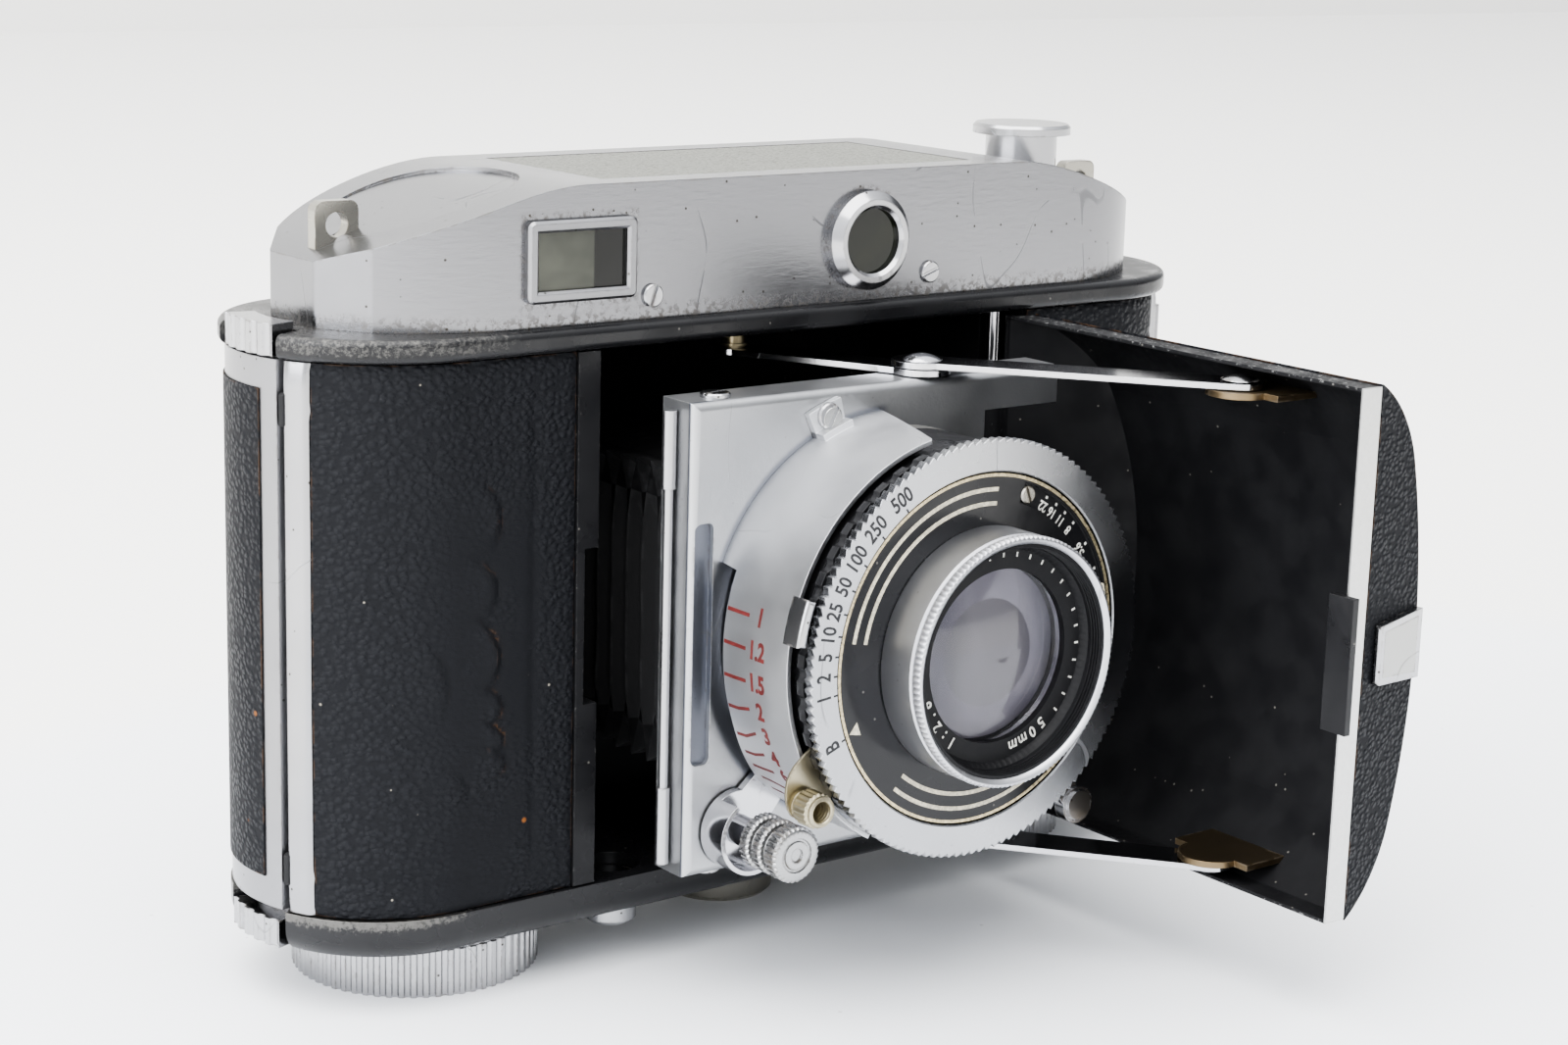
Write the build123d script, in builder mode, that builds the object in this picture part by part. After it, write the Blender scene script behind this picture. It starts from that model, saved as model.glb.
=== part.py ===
from build123d import *
import os
from math import atan2, cos, degrees, hypot, radians, sin, sqrt

os.makedirs("parts", exist_ok=True)

# A 35 mm folding camera, standing on its two bottom knobs with its door open.
# Origin: mouth of the tripod socket.  +X: along the body, -Y: towards the subject, +Z: up.
# Millimetres throughout.

# ---------------------------------------------------------------- driving dimensions
HALF_LENGTH = 61.3          # body, centre to end
HALF_DEPTH = 16.2           # body, centre to front; also the radius of its round ends
END_X = HALF_LENGTH - HALF_DEPTH
LEATHER_BOTTOM = 10.55
LEATHER_HEIGHT = 58.5
LEATHER_TOP = LEATHER_BOTTOM + LEATHER_HEIGHT
RAIL_TOP = LEATHER_TOP + 2.5
BASE_BOTTOM = LEATHER_BOTTOM - 4.6
SKIN = 0.8                  # thickness of the body leather
EDGE_GAP = 0.15             # air between a trim piece and its neighbour

LENS_Z = LEATHER_BOTTOM + 28.85
CHAMBER_BACK = 9.0          # front face of the film gate wall
GATE_BACK = 11.0
CHAMBER_LEFT = -27.6
CHAMBER_RIGHT = 28.0
OPENING_LEFT = -28.4
OPENING_RIGHT = 30.9
OPENING_STEP_Y = -11.3      # where the wide mouth of the opening ends

FRAME_WIDTH = 36.0          # picture
FRAME_HEIGHT = 24.0
SPOOL_X = -41.0
SPOOL_Y = 0.3
CASSETTE_X = 42.3
CASSETTE_Y = 0.6
CHAMBER_FLOOR = 12.6
CHAMBER_CEILING = 67.0

# rear cover
SPLIT_Y = -5.5              # where the cover meets the body at the latch end
COVER_WALL = 1.7
COVER_SKIN = 0.5
COVER_AIR = 0.6
HINGE_Y = -6.0
HINGE_BARREL_R = 1.3
COVER_HINGE_X = END_X + sqrt((HALF_DEPTH + 0.4) ** 2 - HINGE_Y ** 2)
LATCH_FROM = 166.0          # angles round the left end, from +X
LATCH_TO = 199.0
LATCH_TRAVEL = 1.0

# door
DOOR_HINGE_X = 28.3
DOOR_HINGE_Y = -13.3
DOOR_FACE_X = 28.7          # rim plane of the open door, on the lens side
DOOR_END_Y = -69.6
DOOR_MID_Z = 39.65
DOOR_HALF_HEIGHT = 28.7
DOOR_SHEET = 0.4
DOOR_SKIN = 0.3
RIM_DEPTH = 2.8             # plain metal rim before the leather starts
DOOR_BULGE = 13.2           # how far the arched back stands out behind the face
DOOR_SHOULDER = 10.1        # and its shoulders
SHOULDER_HALF = 20.5
DOOR_CORNER = (7.1, 25.4)   # middle of each rounded corner, out from the face and from the middle

# lens standard and its travel
STANDARD_FRONT = -28.2
STANDARD_SHEET = 1.0
STANDARD_HALF = 25.0
STANDARD_HALF_HEIGHT = 25.5
STANDARD_TRAVEL = 29.0
PLATE_RIGHT = 14.4          # right edge of the plate between its two arms
ARM_HEIGHT = 4.2

# struts (upper ones; the lower ones are their mirror image about the lens height)
KNEE_X = 7.5
KNEE_Y = -25.2
DOOR_PIVOT_X = 29.0
DOOR_PIVOT_Y = -52.2
POST_OFFSET = 17.0          # body post, from the middle of the knee's travel
STRUT_SHEET = 0.65
STRUT_AIR = 0.15
STRUT_HALF = 2.5
KNEE_R = 3.3
POST_R = 1.3
POST_EYE_R = 2.7
DOOR_EYE_R = 2.5
RIVET_PIN_R = 0.8
RUNNING = 0.05              # radial clearance of a running fit

# shutter and lens, all round the lens axis
SHUTTER_BACK = -29.75
SHUTTER_FRONT = -41.9
COLLAR_BACK = -42.4
SPEED_RING_BACK = -43.75
SPEED_RING_FRONT = -45.3
SPEED_RING_R = 22.4
FACE_R = 18.7
BARREL_R = 13.3
BARREL_FRONT = -51.3
FRONT_GLASS_R = 9.2
BAND_R = 22.1
FOCUS_ANGLE = 227.5         # focusing knob at infinity, seen from the front, from +X towards +Z
FOCUS_KNOB_R = 28.0

# top housing
HOUSING_TOP = 86.05
HOUSING_SHEET = 1.0
HOUSING_FRONT = 15.2
RELEASE_X = 42.3
RELEASE_Y = -1.2

# knobs
WIND_R = 13.5
REWIND_R = 9.5
KNOB_TOP = 5.55
TRIPOD_BOSS_R = 6.5
TRIPOD_BORE_R = 2.6
TRIPOD_DEPTH = 6.0


# ---------------------------------------------------------------- linkage geometry
def closed_door(x, y):
    """Where a point of the open door lies once the door is shut (a quarter turn)."""
    return (DOOR_HINGE_X + (y - DOOR_HINGE_Y), DOOR_HINGE_Y - (x - DOOR_HINGE_X))


strut_length = hypot(DOOR_PIVOT_X - KNEE_X, DOOR_PIVOT_Y - KNEE_Y)
shut_pivot_x, shut_pivot_y = closed_door(DOOR_PIVOT_X, DOOR_PIVOT_Y)
shut_knee_y = KNEE_Y + STANDARD_TRAVEL
shut_knee_x = shut_pivot_x + sqrt(strut_length ** 2 - (shut_knee_y - shut_pivot_y) ** 2)
chord = hypot(shut_knee_x - KNEE_X, shut_knee_y - KNEE_Y)
POST_X = (KNEE_X + shut_knee_x) / 2 - POST_OFFSET * (shut_knee_y - KNEE_Y) / chord
POST_Y = (KNEE_Y + shut_knee_y) / 2 + POST_OFFSET * (shut_knee_x - KNEE_X) / chord

body_turn = degrees(
    atan2(shut_knee_y - POST_Y, shut_knee_x - POST_X) - atan2(KNEE_Y - POST_Y, KNEE_X - POST_X)
)
door_turn = (
    degrees(atan2(shut_knee_y - shut_pivot_y, shut_knee_x - shut_pivot_x))
    + 90.0
    - degrees(atan2(KNEE_Y - DOOR_PIVOT_Y, KNEE_X - DOOR_PIVOT_X))
)
print(f"post at {POST_X:.3f}, {POST_Y:.3f}; knee shut at {shut_knee_x:.3f}, {shut_knee_y:.3f}")
print(f"body strut turns {body_turn:.3f} deg, door strut {door_turn:.3f} deg while the door turns -90")

# strut layers, from the standard's top face outwards
STANDARD_TOP = LENS_Z + STANDARD_HALF_HEIGHT - 0.05
BODY_STRUT_Z = STANDARD_TOP + STRUT_AIR
DOOR_STRUT_Z = BODY_STRUT_Z + STRUT_SHEET + STRUT_AIR
STRUT_TOP = DOOR_STRUT_Z + STRUT_SHEET


# ---------------------------------------------------------------- shared helpers
def lens_plane(y):
    """A plane square to the lens axis at depth y, facing the subject: local x is +X, local y is +Z."""
    return Plane(origin=(0, y, LENS_Z), x_dir=(1, 0, 0), z_dir=(0, -1, 0))


def front_plane(y):
    """A plane facing the subject at depth y, with local x = X and local y = Z."""
    return Plane(origin=(0, y, 0), x_dir=(1, 0, 0), z_dir=(0, -1, 0))


def around_lens(radius, angle):
    """Local point at a radius and an angle round the lens axis."""
    return (radius * cos(radians(angle)), radius * sin(radians(angle)))


def ring_sector(inner, outer, start, end, centre=(0.0, 0.0), mode=Mode.ADD):
    """Flat ring sector from start to end (degrees), drawn in the active sketch."""
    middle = (start + end) / 2

    def at(radius, angle):
        return (centre[0] + radius * cos(radians(angle)), centre[1] + radius * sin(radians(angle)))

    with BuildLine() as outline:
        ThreePointArc(at(outer, start), at(outer, middle), at(outer, end))
        Line(at(outer, end), at(inner, end))
        ThreePointArc(at(inner, end), at(inner, middle), at(inner, start))
        Line(at(inner, start), at(outer, start))
    make_face(outline.edges(), mode=mode)


def stadium(grow=0.0):
    """The body's plan, grown or shrunk all round, drawn in the active sketch."""
    SlotOverall(2 * (HALF_LENGTH + grow), 2 * (HALF_DEPTH + grow))


def mirrored_in_height(part):
    """The same piece on the other side of the lens height."""
    return part.mirror(Plane.XY.offset(LENS_Z))


# ---------------------------------------------------------------- body casting
with BuildPart() as chassis:
    with BuildSketch(Plane.XY.offset(LEATHER_BOTTOM)):
        stadium(-SKIN)
    extrude(amount=LEATHER_HEIGHT)
    # stepped in behind the split line, so that the rear cover wraps round it
    with BuildSketch(Plane.XY.offset(LEATHER_BOTTOM)):
        with Locations((0, SPLIT_Y + HALF_DEPTH)):
            Rectangle(2 * HALF_LENGTH + 4, 2 * HALF_DEPTH)
        SlotOverall(
            2 * (HALF_LENGTH - COVER_WALL - COVER_AIR),
            2 * (HALF_DEPTH - COVER_WALL - COVER_AIR),
            mode=Mode.SUBTRACT,
        )
    extrude(amount=LEATHER_HEIGHT, mode=Mode.SUBTRACT)
    # bellows chamber with its wider mouth
    with BuildSketch(Plane.XY.offset(LEATHER_BOTTOM)):
        with Locations(((CHAMBER_LEFT + CHAMBER_RIGHT) / 2, (CHAMBER_BACK - 18) / 2)):
            Rectangle(CHAMBER_RIGHT - CHAMBER_LEFT, CHAMBER_BACK + 18)
        with Locations(((OPENING_LEFT + OPENING_RIGHT) / 2, (OPENING_STEP_Y - 18) / 2)):
            Rectangle(OPENING_RIGHT - OPENING_LEFT, 18 + OPENING_STEP_Y)
    extrude(amount=LEATHER_HEIGHT, mode=Mode.SUBTRACT)
    # take-up and cassette chambers, open to the back
    with BuildSketch(Plane.XY.offset(CHAMBER_FLOOR)):
        with Locations((SPOOL_X, SPOOL_Y)):
            Circle(12.0)
        with Locations((SPOOL_X, SPOOL_Y + 7.5)):
            Rectangle(24.0, 15.0)
        with Locations((CASSETTE_X, CASSETTE_Y)):
            Circle(12.6)
        with Locations((CASSETTE_X, CASSETTE_Y + 7.5)):
            Rectangle(25.2, 15.0)
    extrude(amount=CHAMBER_CEILING - CHAMBER_FLOOR, mode=Mode.SUBTRACT)
    # recess for the film and the pressure plate
    with BuildSketch(Plane.XY.offset(CHAMBER_FLOOR)):
        with Locations((0, GATE_BACK + 3)):
            Rectangle(2 * HALF_LENGTH, 6)
    extrude(amount=CHAMBER_CEILING - CHAMBER_FLOOR, mode=Mode.SUBTRACT)
    # picture window
    with BuildSketch(front_plane(GATE_BACK + 1)):
        with Locations((0, LENS_Z)):
            Rectangle(FRAME_WIDTH, FRAME_HEIGHT)
    extrude(amount=4, mode=Mode.SUBTRACT)
    # pocket for the door catch, groove for the cover's hinge, groove for the latch bar
    with BuildSketch(Plane.XY.offset(LENS_Z - 8.5)):
        with Locations((-29.2, -14.4)):
            Rectangle(3.6, 7.0)
    extrude(amount=17, mode=Mode.SUBTRACT)
    with BuildSketch(Plane.XY.offset(LEATHER_BOTTOM)):
        with Locations((COVER_HINGE_X, HINGE_Y)):
            Circle(HINGE_BARREL_R + 0.3)
    extrude(amount=LEATHER_HEIGHT, mode=Mode.SUBTRACT)
    with BuildSketch(Plane.XY.offset(LEATHER_BOTTOM)):
        ring_sector(12.9, 15.2, LATCH_FROM - 3, LATCH_TO + 3, (-END_X, 0))
    extrude(amount=LEATHER_HEIGHT, mode=Mode.SUBTRACT)
    # shaft holes of the two bottom knobs
    with BuildSketch(Plane.XY.offset(LEATHER_BOTTOM)):
        with Locations((SPOOL_X, SPOOL_Y), (CASSETTE_X, CASSETTE_Y)):
            Circle(3.0)
    extrude(amount=CHAMBER_FLOOR - LEATHER_BOTTOM, mode=Mode.SUBTRACT)
    # the body's own hinge knuckle
    with BuildSketch(Plane.XY.offset(LENS_Z - 9)):
        with Locations((COVER_HINGE_X, HINGE_Y)):
            Circle(HINGE_BARREL_R)
        with Locations((COVER_HINGE_X - 1.6, HINGE_Y - 0.5)):
            Rectangle(2.6, 1.0)
        with Locations((COVER_HINGE_X, HINGE_Y)):
            Circle(0.6, mode=Mode.SUBTRACT)
    extrude(amount=18)
chassis.part.label = "chassis"
export_step(chassis.part, "parts/chassis.step")

with BuildPart() as film_rails:
    for rail_offset in (-17.8, -13.4, 13.4, 17.8):
        with BuildSketch(front_plane(GATE_BACK + 0.5)):
            with Locations((0, LENS_Z + rail_offset)):
                Rectangle(56.0, 1.4)
        extrude(amount=0.5)
film_rails.part.label = "film_rails"
export_step(film_rails.part, "parts/film_rails.step")

with BuildPart() as top_plate:
    with BuildSketch(Plane.XY.offset(LEATHER_TOP)):
        stadium(0.7)
    extrude(amount=RAIL_TOP - LEATHER_TOP)
    outer_edges = top_plate.edges().filter_by(Plane.XY)
    fillet(outer_edges, 0.8)
    with BuildSketch(Plane.XY.offset(LEATHER_TOP)):
        ring_sector(13.1, 19.0, LATCH_FROM - 3, LATCH_TO + 3, (-END_X, 0))
    extrude(amount=RAIL_TOP - LEATHER_TOP, mode=Mode.SUBTRACT)
top_plate.part.label = "top_plate"
export_step(top_plate.part, "parts/top_plate.step")

DOOR_BUTTON_X = -23.0
DOOR_BUTTON_Y = -11.4
DOOR_BUTTON_R = 2.9

with BuildPart() as bottom_plate:
    with BuildSketch(Plane.XY.offset(BASE_BOTTOM)):
        stadium(0.2)
    extrude(amount=LEATHER_BOTTOM - BASE_BOTTOM)
    fillet(bottom_plate.faces().sort_by(Axis.Z)[0].edges(), 2.6)
    with BuildSketch(Plane.XY.offset(BASE_BOTTOM)):
        ring_sector(13.1, 19.0, LATCH_FROM - 3, LATCH_TO + 3, (-END_X, 0))
        with Locations((SPOOL_X, SPOOL_Y), (CASSETTE_X, CASSETTE_Y)):
            Circle(3.0)
        with Locations((DOOR_BUTTON_X, DOOR_BUTTON_Y)):
            Circle(DOOR_BUTTON_R + 0.3)
        Circle(TRIPOD_BOSS_R)
    extrude(amount=LEATHER_BOTTOM - BASE_BOTTOM, mode=Mode.SUBTRACT)
bottom_plate.part.label = "bottom_plate"
export_step(bottom_plate.part, "parts/bottom_plate.step")

with BuildPart() as tripod_bush:
    with BuildSketch(Plane.XY):
        Circle(TRIPOD_BOSS_R)
    extrude(amount=LEATHER_BOTTOM)
    chamfer(tripod_bush.faces().sort_by(Axis.Z)[0].edges(), 0.5)
    with BuildSketch(Plane.XY):
        Circle(TRIPOD_BORE_R)
    extrude(amount=TRIPOD_DEPTH, mode=Mode.SUBTRACT)
tripod_bush.part.label = "tripod_bush"
export_step(tripod_bush.part, "parts/tripod_bush.step")

# ---------------------------------------------------------------- body covering and trim
LEATHER_END_Y = -9.1
STRIP_GAP_Y = -5.8


def leather_panel(side):
    """One front panel of leather, from the opening round the end of the body."""
    with BuildPart() as panel:
        with BuildSketch(Plane.XY.offset(LEATHER_BOTTOM + EDGE_GAP)):
            stadium()
            SlotOverall(2 * (HALF_LENGTH - SKIN), 2 * (HALF_DEPTH - SKIN), mode=Mode.SUBTRACT)
            edge_x = OPENING_RIGHT + 0.3
            with Locations((side * (edge_x + 20), LEATHER_END_Y - 10)):
                Rectangle(40, 20, mode=Mode.INTERSECT)
        extrude(amount=LEATHER_HEIGHT - 2 * EDGE_GAP)
    return panel.part


with BuildPart() as front_leather:
    add(leather_panel(-1))
    add(leather_panel(1))
front_leather.part.label = "front_leather"
export_step(front_leather.part, "parts/front_leather.step")

# metal lip down the left edge of the opening, with a notch for the door catch
with BuildPart() as opening_lip:
    with BuildSketch(Plane.XY.offset(LEATHER_BOTTOM + EDGE_GAP)):
        with Locations(((OPENING_LEFT - 31.1) / 2, -HALF_DEPTH + SKIN / 2)):
            Rectangle(OPENING_LEFT + 31.1, SKIN)
    extrude(amount=LEATHER_HEIGHT - 2 * EDGE_GAP)
    with BuildSketch(Plane.XY.offset(LENS_Z - 8.5)):
        with Locations((OPENING_LEFT, -HALF_DEPTH + SKIN / 2)):
            Rectangle(3.4, 2.0)
    extrude(amount=17, mode=Mode.SUBTRACT)
opening_lip.part.label = "opening_lip"
export_step(opening_lip.part, "parts/opening_lip.step")

# bright strips between the leather and the rear cover, one at each end
with BuildPart() as edge_strips:
    with BuildSketch(Plane.XY.offset(LEATHER_BOTTOM + EDGE_GAP)):
        stadium(0.35)
        SlotOverall(2 * (HALF_LENGTH - SKIN), 2 * (HALF_DEPTH - SKIN), mode=Mode.SUBTRACT)
        with Locations((-HALF_LENGTH, (LEATHER_END_Y + STRIP_GAP_Y) / 2)):
            Rectangle(20, STRIP_GAP_Y - LEATHER_END_Y, mode=Mode.INTERSECT)
    extrude(amount=LEATHER_HEIGHT - 2 * EDGE_GAP)
    with BuildSketch(Plane.XY.offset(LEATHER_BOTTOM + EDGE_GAP)):
        stadium(0.35)
        SlotOverall(2 * (HALF_LENGTH - SKIN), 2 * (HALF_DEPTH - SKIN), mode=Mode.SUBTRACT)
        with Locations((HALF_LENGTH, LEATHER_END_Y + 0.6)):
            Rectangle(20, 1.2, mode=Mode.INTERSECT)
    extrude(amount=LEATHER_HEIGHT - 2 * EDGE_GAP)
edge_strips.part.label = "edge_strips"
export_step(edge_strips.part, "parts/edge_strips.step")

# ---------------------------------------------------------------- top housing
VIEW_X = -30.5
VIEW_Z = 78.4
VIEW_WIDTH = 13.4
VIEW_HEIGHT = 8.5
VIEW_RIM = 1.25
RANGE_X = 7.2
RANGE_Z = 78.35
RANGE_R = 5.5
RANGE_GLASS_R = 3.6
EYE_R = 4.4
EYE_GLASS_R = 2.6
PANEL_HALF_X = 25.5
PANEL_HALF_Y = 11.4
PANEL_DEPTH = 0.5
LUG_X = 51.4
LUG_Y = -1.2
LUG_SHEET = 1.5
LUG_HOLE_R = 1.3
LUG_HOLE_Z = 81.55
LUG_TOP = 84.0
SUNK_X = -40.6              # round area sunk into the left end of the top
SUNK_R = 10.4
SUNK_DEPTH = 0.45           # at its inner end; it runs out level at its outer end
HOUSING_END_X = 55.6                # plan of the housing: flat end, short bevel, long round, flat front
HOUSING_END_HALF_Y = 4.7
BEVEL_X = 51.9
BEVEL_HALF_Y = 10.0
ROUND_X = 38.0
DOME_FLAT_X = 29.0          # profile of the top: flat middle, then a dome falling to each end
DOME_KNOTS = ((40.5, 2.1), (50.0, 5.3))
DOME_END = (60.0, 10.4)


def housing_block(inset):
    """The housing's outer form, shrunk by inset: its plan cut by its long domed profile."""
    with BuildPart() as block:
        with BuildSketch(Plane.XY.offset(RAIL_TOP)) as plan:
            with BuildLine() as outline:
                for side in (-1, 1):
                    Line((side * HOUSING_END_X, -HOUSING_END_HALF_Y), (side * HOUSING_END_X, HOUSING_END_HALF_Y))
                    Line((-ROUND_X, side * HOUSING_FRONT), (ROUND_X, side * HOUSING_FRONT))
                    for face in (-1, 1):
                        bevel = (side * BEVEL_X, face * BEVEL_HALF_Y)
                        Line((side * HOUSING_END_X, face * HOUSING_END_HALF_Y), bevel)
                        TangentArc((side * ROUND_X, face * HOUSING_FRONT), bevel, tangent=(side, 0))
            make_face(outline.edges())
            ends = plan.vertices().filter_by(lambda vertex: abs(vertex.X) > (BEVEL_X + ROUND_X) / 2)
            fillet(ends, 1.0)
            if inset > 0:
                offset(amount=-inset, mode=Mode.REPLACE)
        extrude(amount=HOUSING_TOP - RAIL_TOP)
        top = HOUSING_TOP - inset
        with BuildSketch(front_plane(HALF_DEPTH + 1)):
            with BuildLine():
                for side in (-1, 1):
                    dome = [(side * DOME_FLAT_X, top)]
                    dome += [(side * x, top - fall) for x, fall in DOME_KNOTS]
                    dome += [(side * DOME_END[0], top - DOME_END[1])]
                    Spline(*dome, tangents=((side, 0), (side * 0.8, -0.6)))
                    Line(dome[-1], (side * DOME_END[0], RAIL_TOP))
                Line((-DOME_FLAT_X, top), (DOME_FLAT_X, top))
                Line((-DOME_END[0], RAIL_TOP), (DOME_END[0], RAIL_TOP))
            make_face()
        extrude(amount=2 * HALF_DEPTH + 2, mode=Mode.INTERSECT)
    return block.part


def sunk_round(block):
    """What is taken off the block to sink a round area into it: a disc less the block itself, tilted."""
    outer_end = Location((SUNK_X - SUNK_R, 0, HOUSING_TOP - DOME_KNOTS[1][1]))
    tilt = degrees(atan2(SUNK_DEPTH, 2 * SUNK_R))
    tilted = (outer_end * Location((0, 0, 0), (0, tilt, 0)) * outer_end.inverse()) * block
    with BuildPart() as disc:
        with BuildSketch(Plane.XY.offset(LUG_HOLE_Z - 5)):
            with Locations((SUNK_X, 0)):
                Circle(SUNK_R)
        extrude(amount=10)
        add(tilted, mode=Mode.SUBTRACT)
    return disc.part


with BuildPart() as top_housing:
    add(housing_block(0.0))
    add(sunk_round(housing_block(0.0)), mode=Mode.SUBTRACT)
    add(housing_block(HOUSING_SHEET), mode=Mode.SUBTRACT)
    # finder window, rangefinder port and eyepiece
    with BuildSketch(front_plane(-HOUSING_FRONT + 3)):
        with Locations((VIEW_X, VIEW_Z)):
            Rectangle(VIEW_WIDTH - 2 * VIEW_RIM, VIEW_HEIGHT - 2 * VIEW_RIM)
        with Locations((RANGE_X, RANGE_Z)):
            Circle(RANGE_GLASS_R)
    extrude(amount=4, mode=Mode.SUBTRACT)
    with BuildSketch(front_plane(HOUSING_FRONT + 1)):
        with Locations((VIEW_X, VIEW_Z)):
            Circle(EYE_GLASS_R)
    extrude(amount=4, mode=Mode.SUBTRACT)
    # recess of the grained panel
    with BuildSketch(Plane.XY.offset(HOUSING_TOP - PANEL_DEPTH)):
        Rectangle(2 * PANEL_HALF_X, 2 * PANEL_HALF_Y)
    extrude(amount=2, mode=Mode.SUBTRACT)
    # hole of the release button and slots of the strap lugs
    with BuildSketch(Plane.XY.offset(RAIL_TOP)):
        with Locations((RELEASE_X, RELEASE_Y)):
            Circle(4.6)
    extrude(amount=20, mode=Mode.SUBTRACT)
    with BuildSketch(Plane.XY.offset(76.0)):
        with Locations((-LUG_X, LUG_Y), (LUG_X, LUG_Y)):
            Rectangle(5.0, LUG_SHEET)
    extrude(amount=12, mode=Mode.SUBTRACT)
top_housing.part.label = "top_housing"
export_step(top_housing.part, "parts/top_housing.step")

with BuildPart() as top_panel:
    with BuildSketch(Plane.XY.offset(HOUSING_TOP - PANEL_DEPTH)):
        Rectangle(2 * PANEL_HALF_X - 0.3, 2 * PANEL_HALF_Y - 0.3)
    extrude(amount=PANEL_DEPTH - 0.05)
top_panel.part.label = "top_panel"
export_step(top_panel.part, "parts/top_panel.step")

# rectangular frame of the front window and round eyepiece at the back
with BuildPart() as eyepiece:
    with BuildSketch(front_plane(HOUSING_FRONT + 1.4)):
        with Locations((VIEW_X, VIEW_Z)):
            Circle(EYE_R)
            Circle(EYE_GLASS_R, mode=Mode.SUBTRACT)
    extrude(amount=1.4)
    chamfer(eyepiece.faces().sort_by(Axis.Y)[-1].edges().sort_by(SortBy.RADIUS)[-1], 0.6)

with BuildPart() as finder_frames:
    with BuildSketch(front_plane(-HOUSING_FRONT)):
        with Locations((VIEW_X, VIEW_Z)):
            RectangleRounded(VIEW_WIDTH, VIEW_HEIGHT, 0.8)
            Rectangle(VIEW_WIDTH - 2 * VIEW_RIM, VIEW_HEIGHT - 2 * VIEW_RIM, mode=Mode.SUBTRACT)
    extrude(amount=0.95)
    chamfer(finder_frames.faces().sort_by(Axis.Y)[0].edges(), 0.3)
    add(eyepiece.part)
finder_frames.part.label = "finder_frames"
export_step(finder_frames.part, "parts/finder_frames.step")

# front window of the finder and the small lens of its eyepiece
with BuildPart() as finder_glasses:
    with BuildSketch(front_plane(-HOUSING_FRONT + 0.8)):
        with Locations((VIEW_X, VIEW_Z)):
            Rectangle(VIEW_WIDTH - 2 * VIEW_RIM, VIEW_HEIGHT - 2 * VIEW_RIM)
    extrude(amount=1.0)
    with BuildSketch(front_plane(HOUSING_FRONT + 0.5)):
        with Locations((VIEW_X, VIEW_Z)):
            Circle(EYE_GLASS_R)
    extrude(amount=1.0)
finder_glasses.part.label = "finder_glasses"
export_step(finder_glasses.part, "parts/finder_glasses.step")

with BuildPart() as rangefinder_bezel:
    with BuildSketch(front_plane(-HOUSING_FRONT)):
        with Locations((RANGE_X, RANGE_Z)):
            Circle(RANGE_R)
            Circle(RANGE_GLASS_R, mode=Mode.SUBTRACT)
    extrude(amount=1.9)
    bezel_rims = rangefinder_bezel.faces().sort_by(Axis.Y)[0].edges().sort_by(SortBy.RADIUS)
    chamfer(bezel_rims[-1], 0.9)
    chamfer(rangefinder_bezel.faces().sort_by(Axis.Y)[0].edges().sort_by(SortBy.RADIUS)[0], 0.4)
rangefinder_bezel.part.label = "rangefinder_bezel"
export_step(rangefinder_bezel.part, "parts/rangefinder_bezel.step")

with BuildPart() as rangefinder_glass:
    with BuildSketch(front_plane(-HOUSING_FRONT + 0.8)):
        with Locations((RANGE_X, RANGE_Z)):
            Circle(RANGE_GLASS_R)
    extrude(amount=1.8)
rangefinder_glass.part.label = "rangefinder_glass"
export_step(rangefinder_glass.part, "parts/rangefinder_glass.step")

# half-silvered block behind the finder and mirror block behind the second window
with BuildPart() as rangefinder_prisms:
    for prism_x, prism_size in ((VIEW_X + 1.5, 9.0), (RANGE_X, 7.6)):
        with BuildSketch(Plane.XY.offset(74.2)):
            with Locations((prism_x, -7.5)):
                Rectangle(prism_size, prism_size)
        extrude(amount=8.4)
rangefinder_prisms.part.label = "rangefinder_prisms"
export_step(rangefinder_prisms.part, "parts/rangefinder_prisms.step")


def slotted_head(radius, height, slot_angle):
    """Cheese-head screw, drawn on the XY plane with its slot at an angle, facing +Z."""
    with BuildPart() as head:
        Cylinder(radius, height, align=(Align.CENTER, Align.CENTER, Align.MIN))
        chamfer(head.faces().sort_by(Axis.Z)[-1].edges(), 0.15)
        with BuildSketch(Plane.XY.offset(height - 0.25)):
            Rectangle(2 * radius + 1, 0.4, rotation=slot_angle)
        extrude(amount=1, mode=Mode.SUBTRACT)
    return head.part


with BuildPart() as housing_screws:
    screw_places = ((-21.4, 74.05, 70), (16.6, 74.2, 20))
    for screw_x, screw_z, slot_angle in screw_places:
        front = Plane(origin=(screw_x, -HOUSING_FRONT, screw_z), x_dir=(1, 0, 0), z_dir=(0, -1, 0))
        back = Plane(origin=(screw_x, HOUSING_FRONT, screw_z), x_dir=(-1, 0, 0), z_dir=(0, 1, 0))
        add(front * slotted_head(1.25, 0.45, slot_angle))
        add(back * slotted_head(1.25, 0.45, slot_angle))
housing_screws.part.label = "housing_screws"
export_step(housing_screws.part, "parts/housing_screws.step")

with BuildPart() as strap_lugs:
    with BuildSketch(front_plane(LUG_Y + LUG_SHEET / 2)):
        lug_low = HOUSING_TOP - 9.5
        with Locations((-LUG_X, (lug_low + LUG_TOP) / 2), (LUG_X, (lug_low + LUG_TOP) / 2)):
            Rectangle(5.0, LUG_TOP - lug_low)
        with Locations((-LUG_X, LUG_HOLE_Z), (LUG_X, LUG_HOLE_Z)):
            Circle(LUG_HOLE_R, mode=Mode.SUBTRACT)
    extrude(amount=LUG_SHEET)
    fillet(strap_lugs.edges().filter_by(Axis.Y).group_by(Axis.Z)[-1], 1.0)
strap_lugs.part.label = "strap_lugs"
export_step(strap_lugs.part, "parts/strap_lugs.step")

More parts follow.
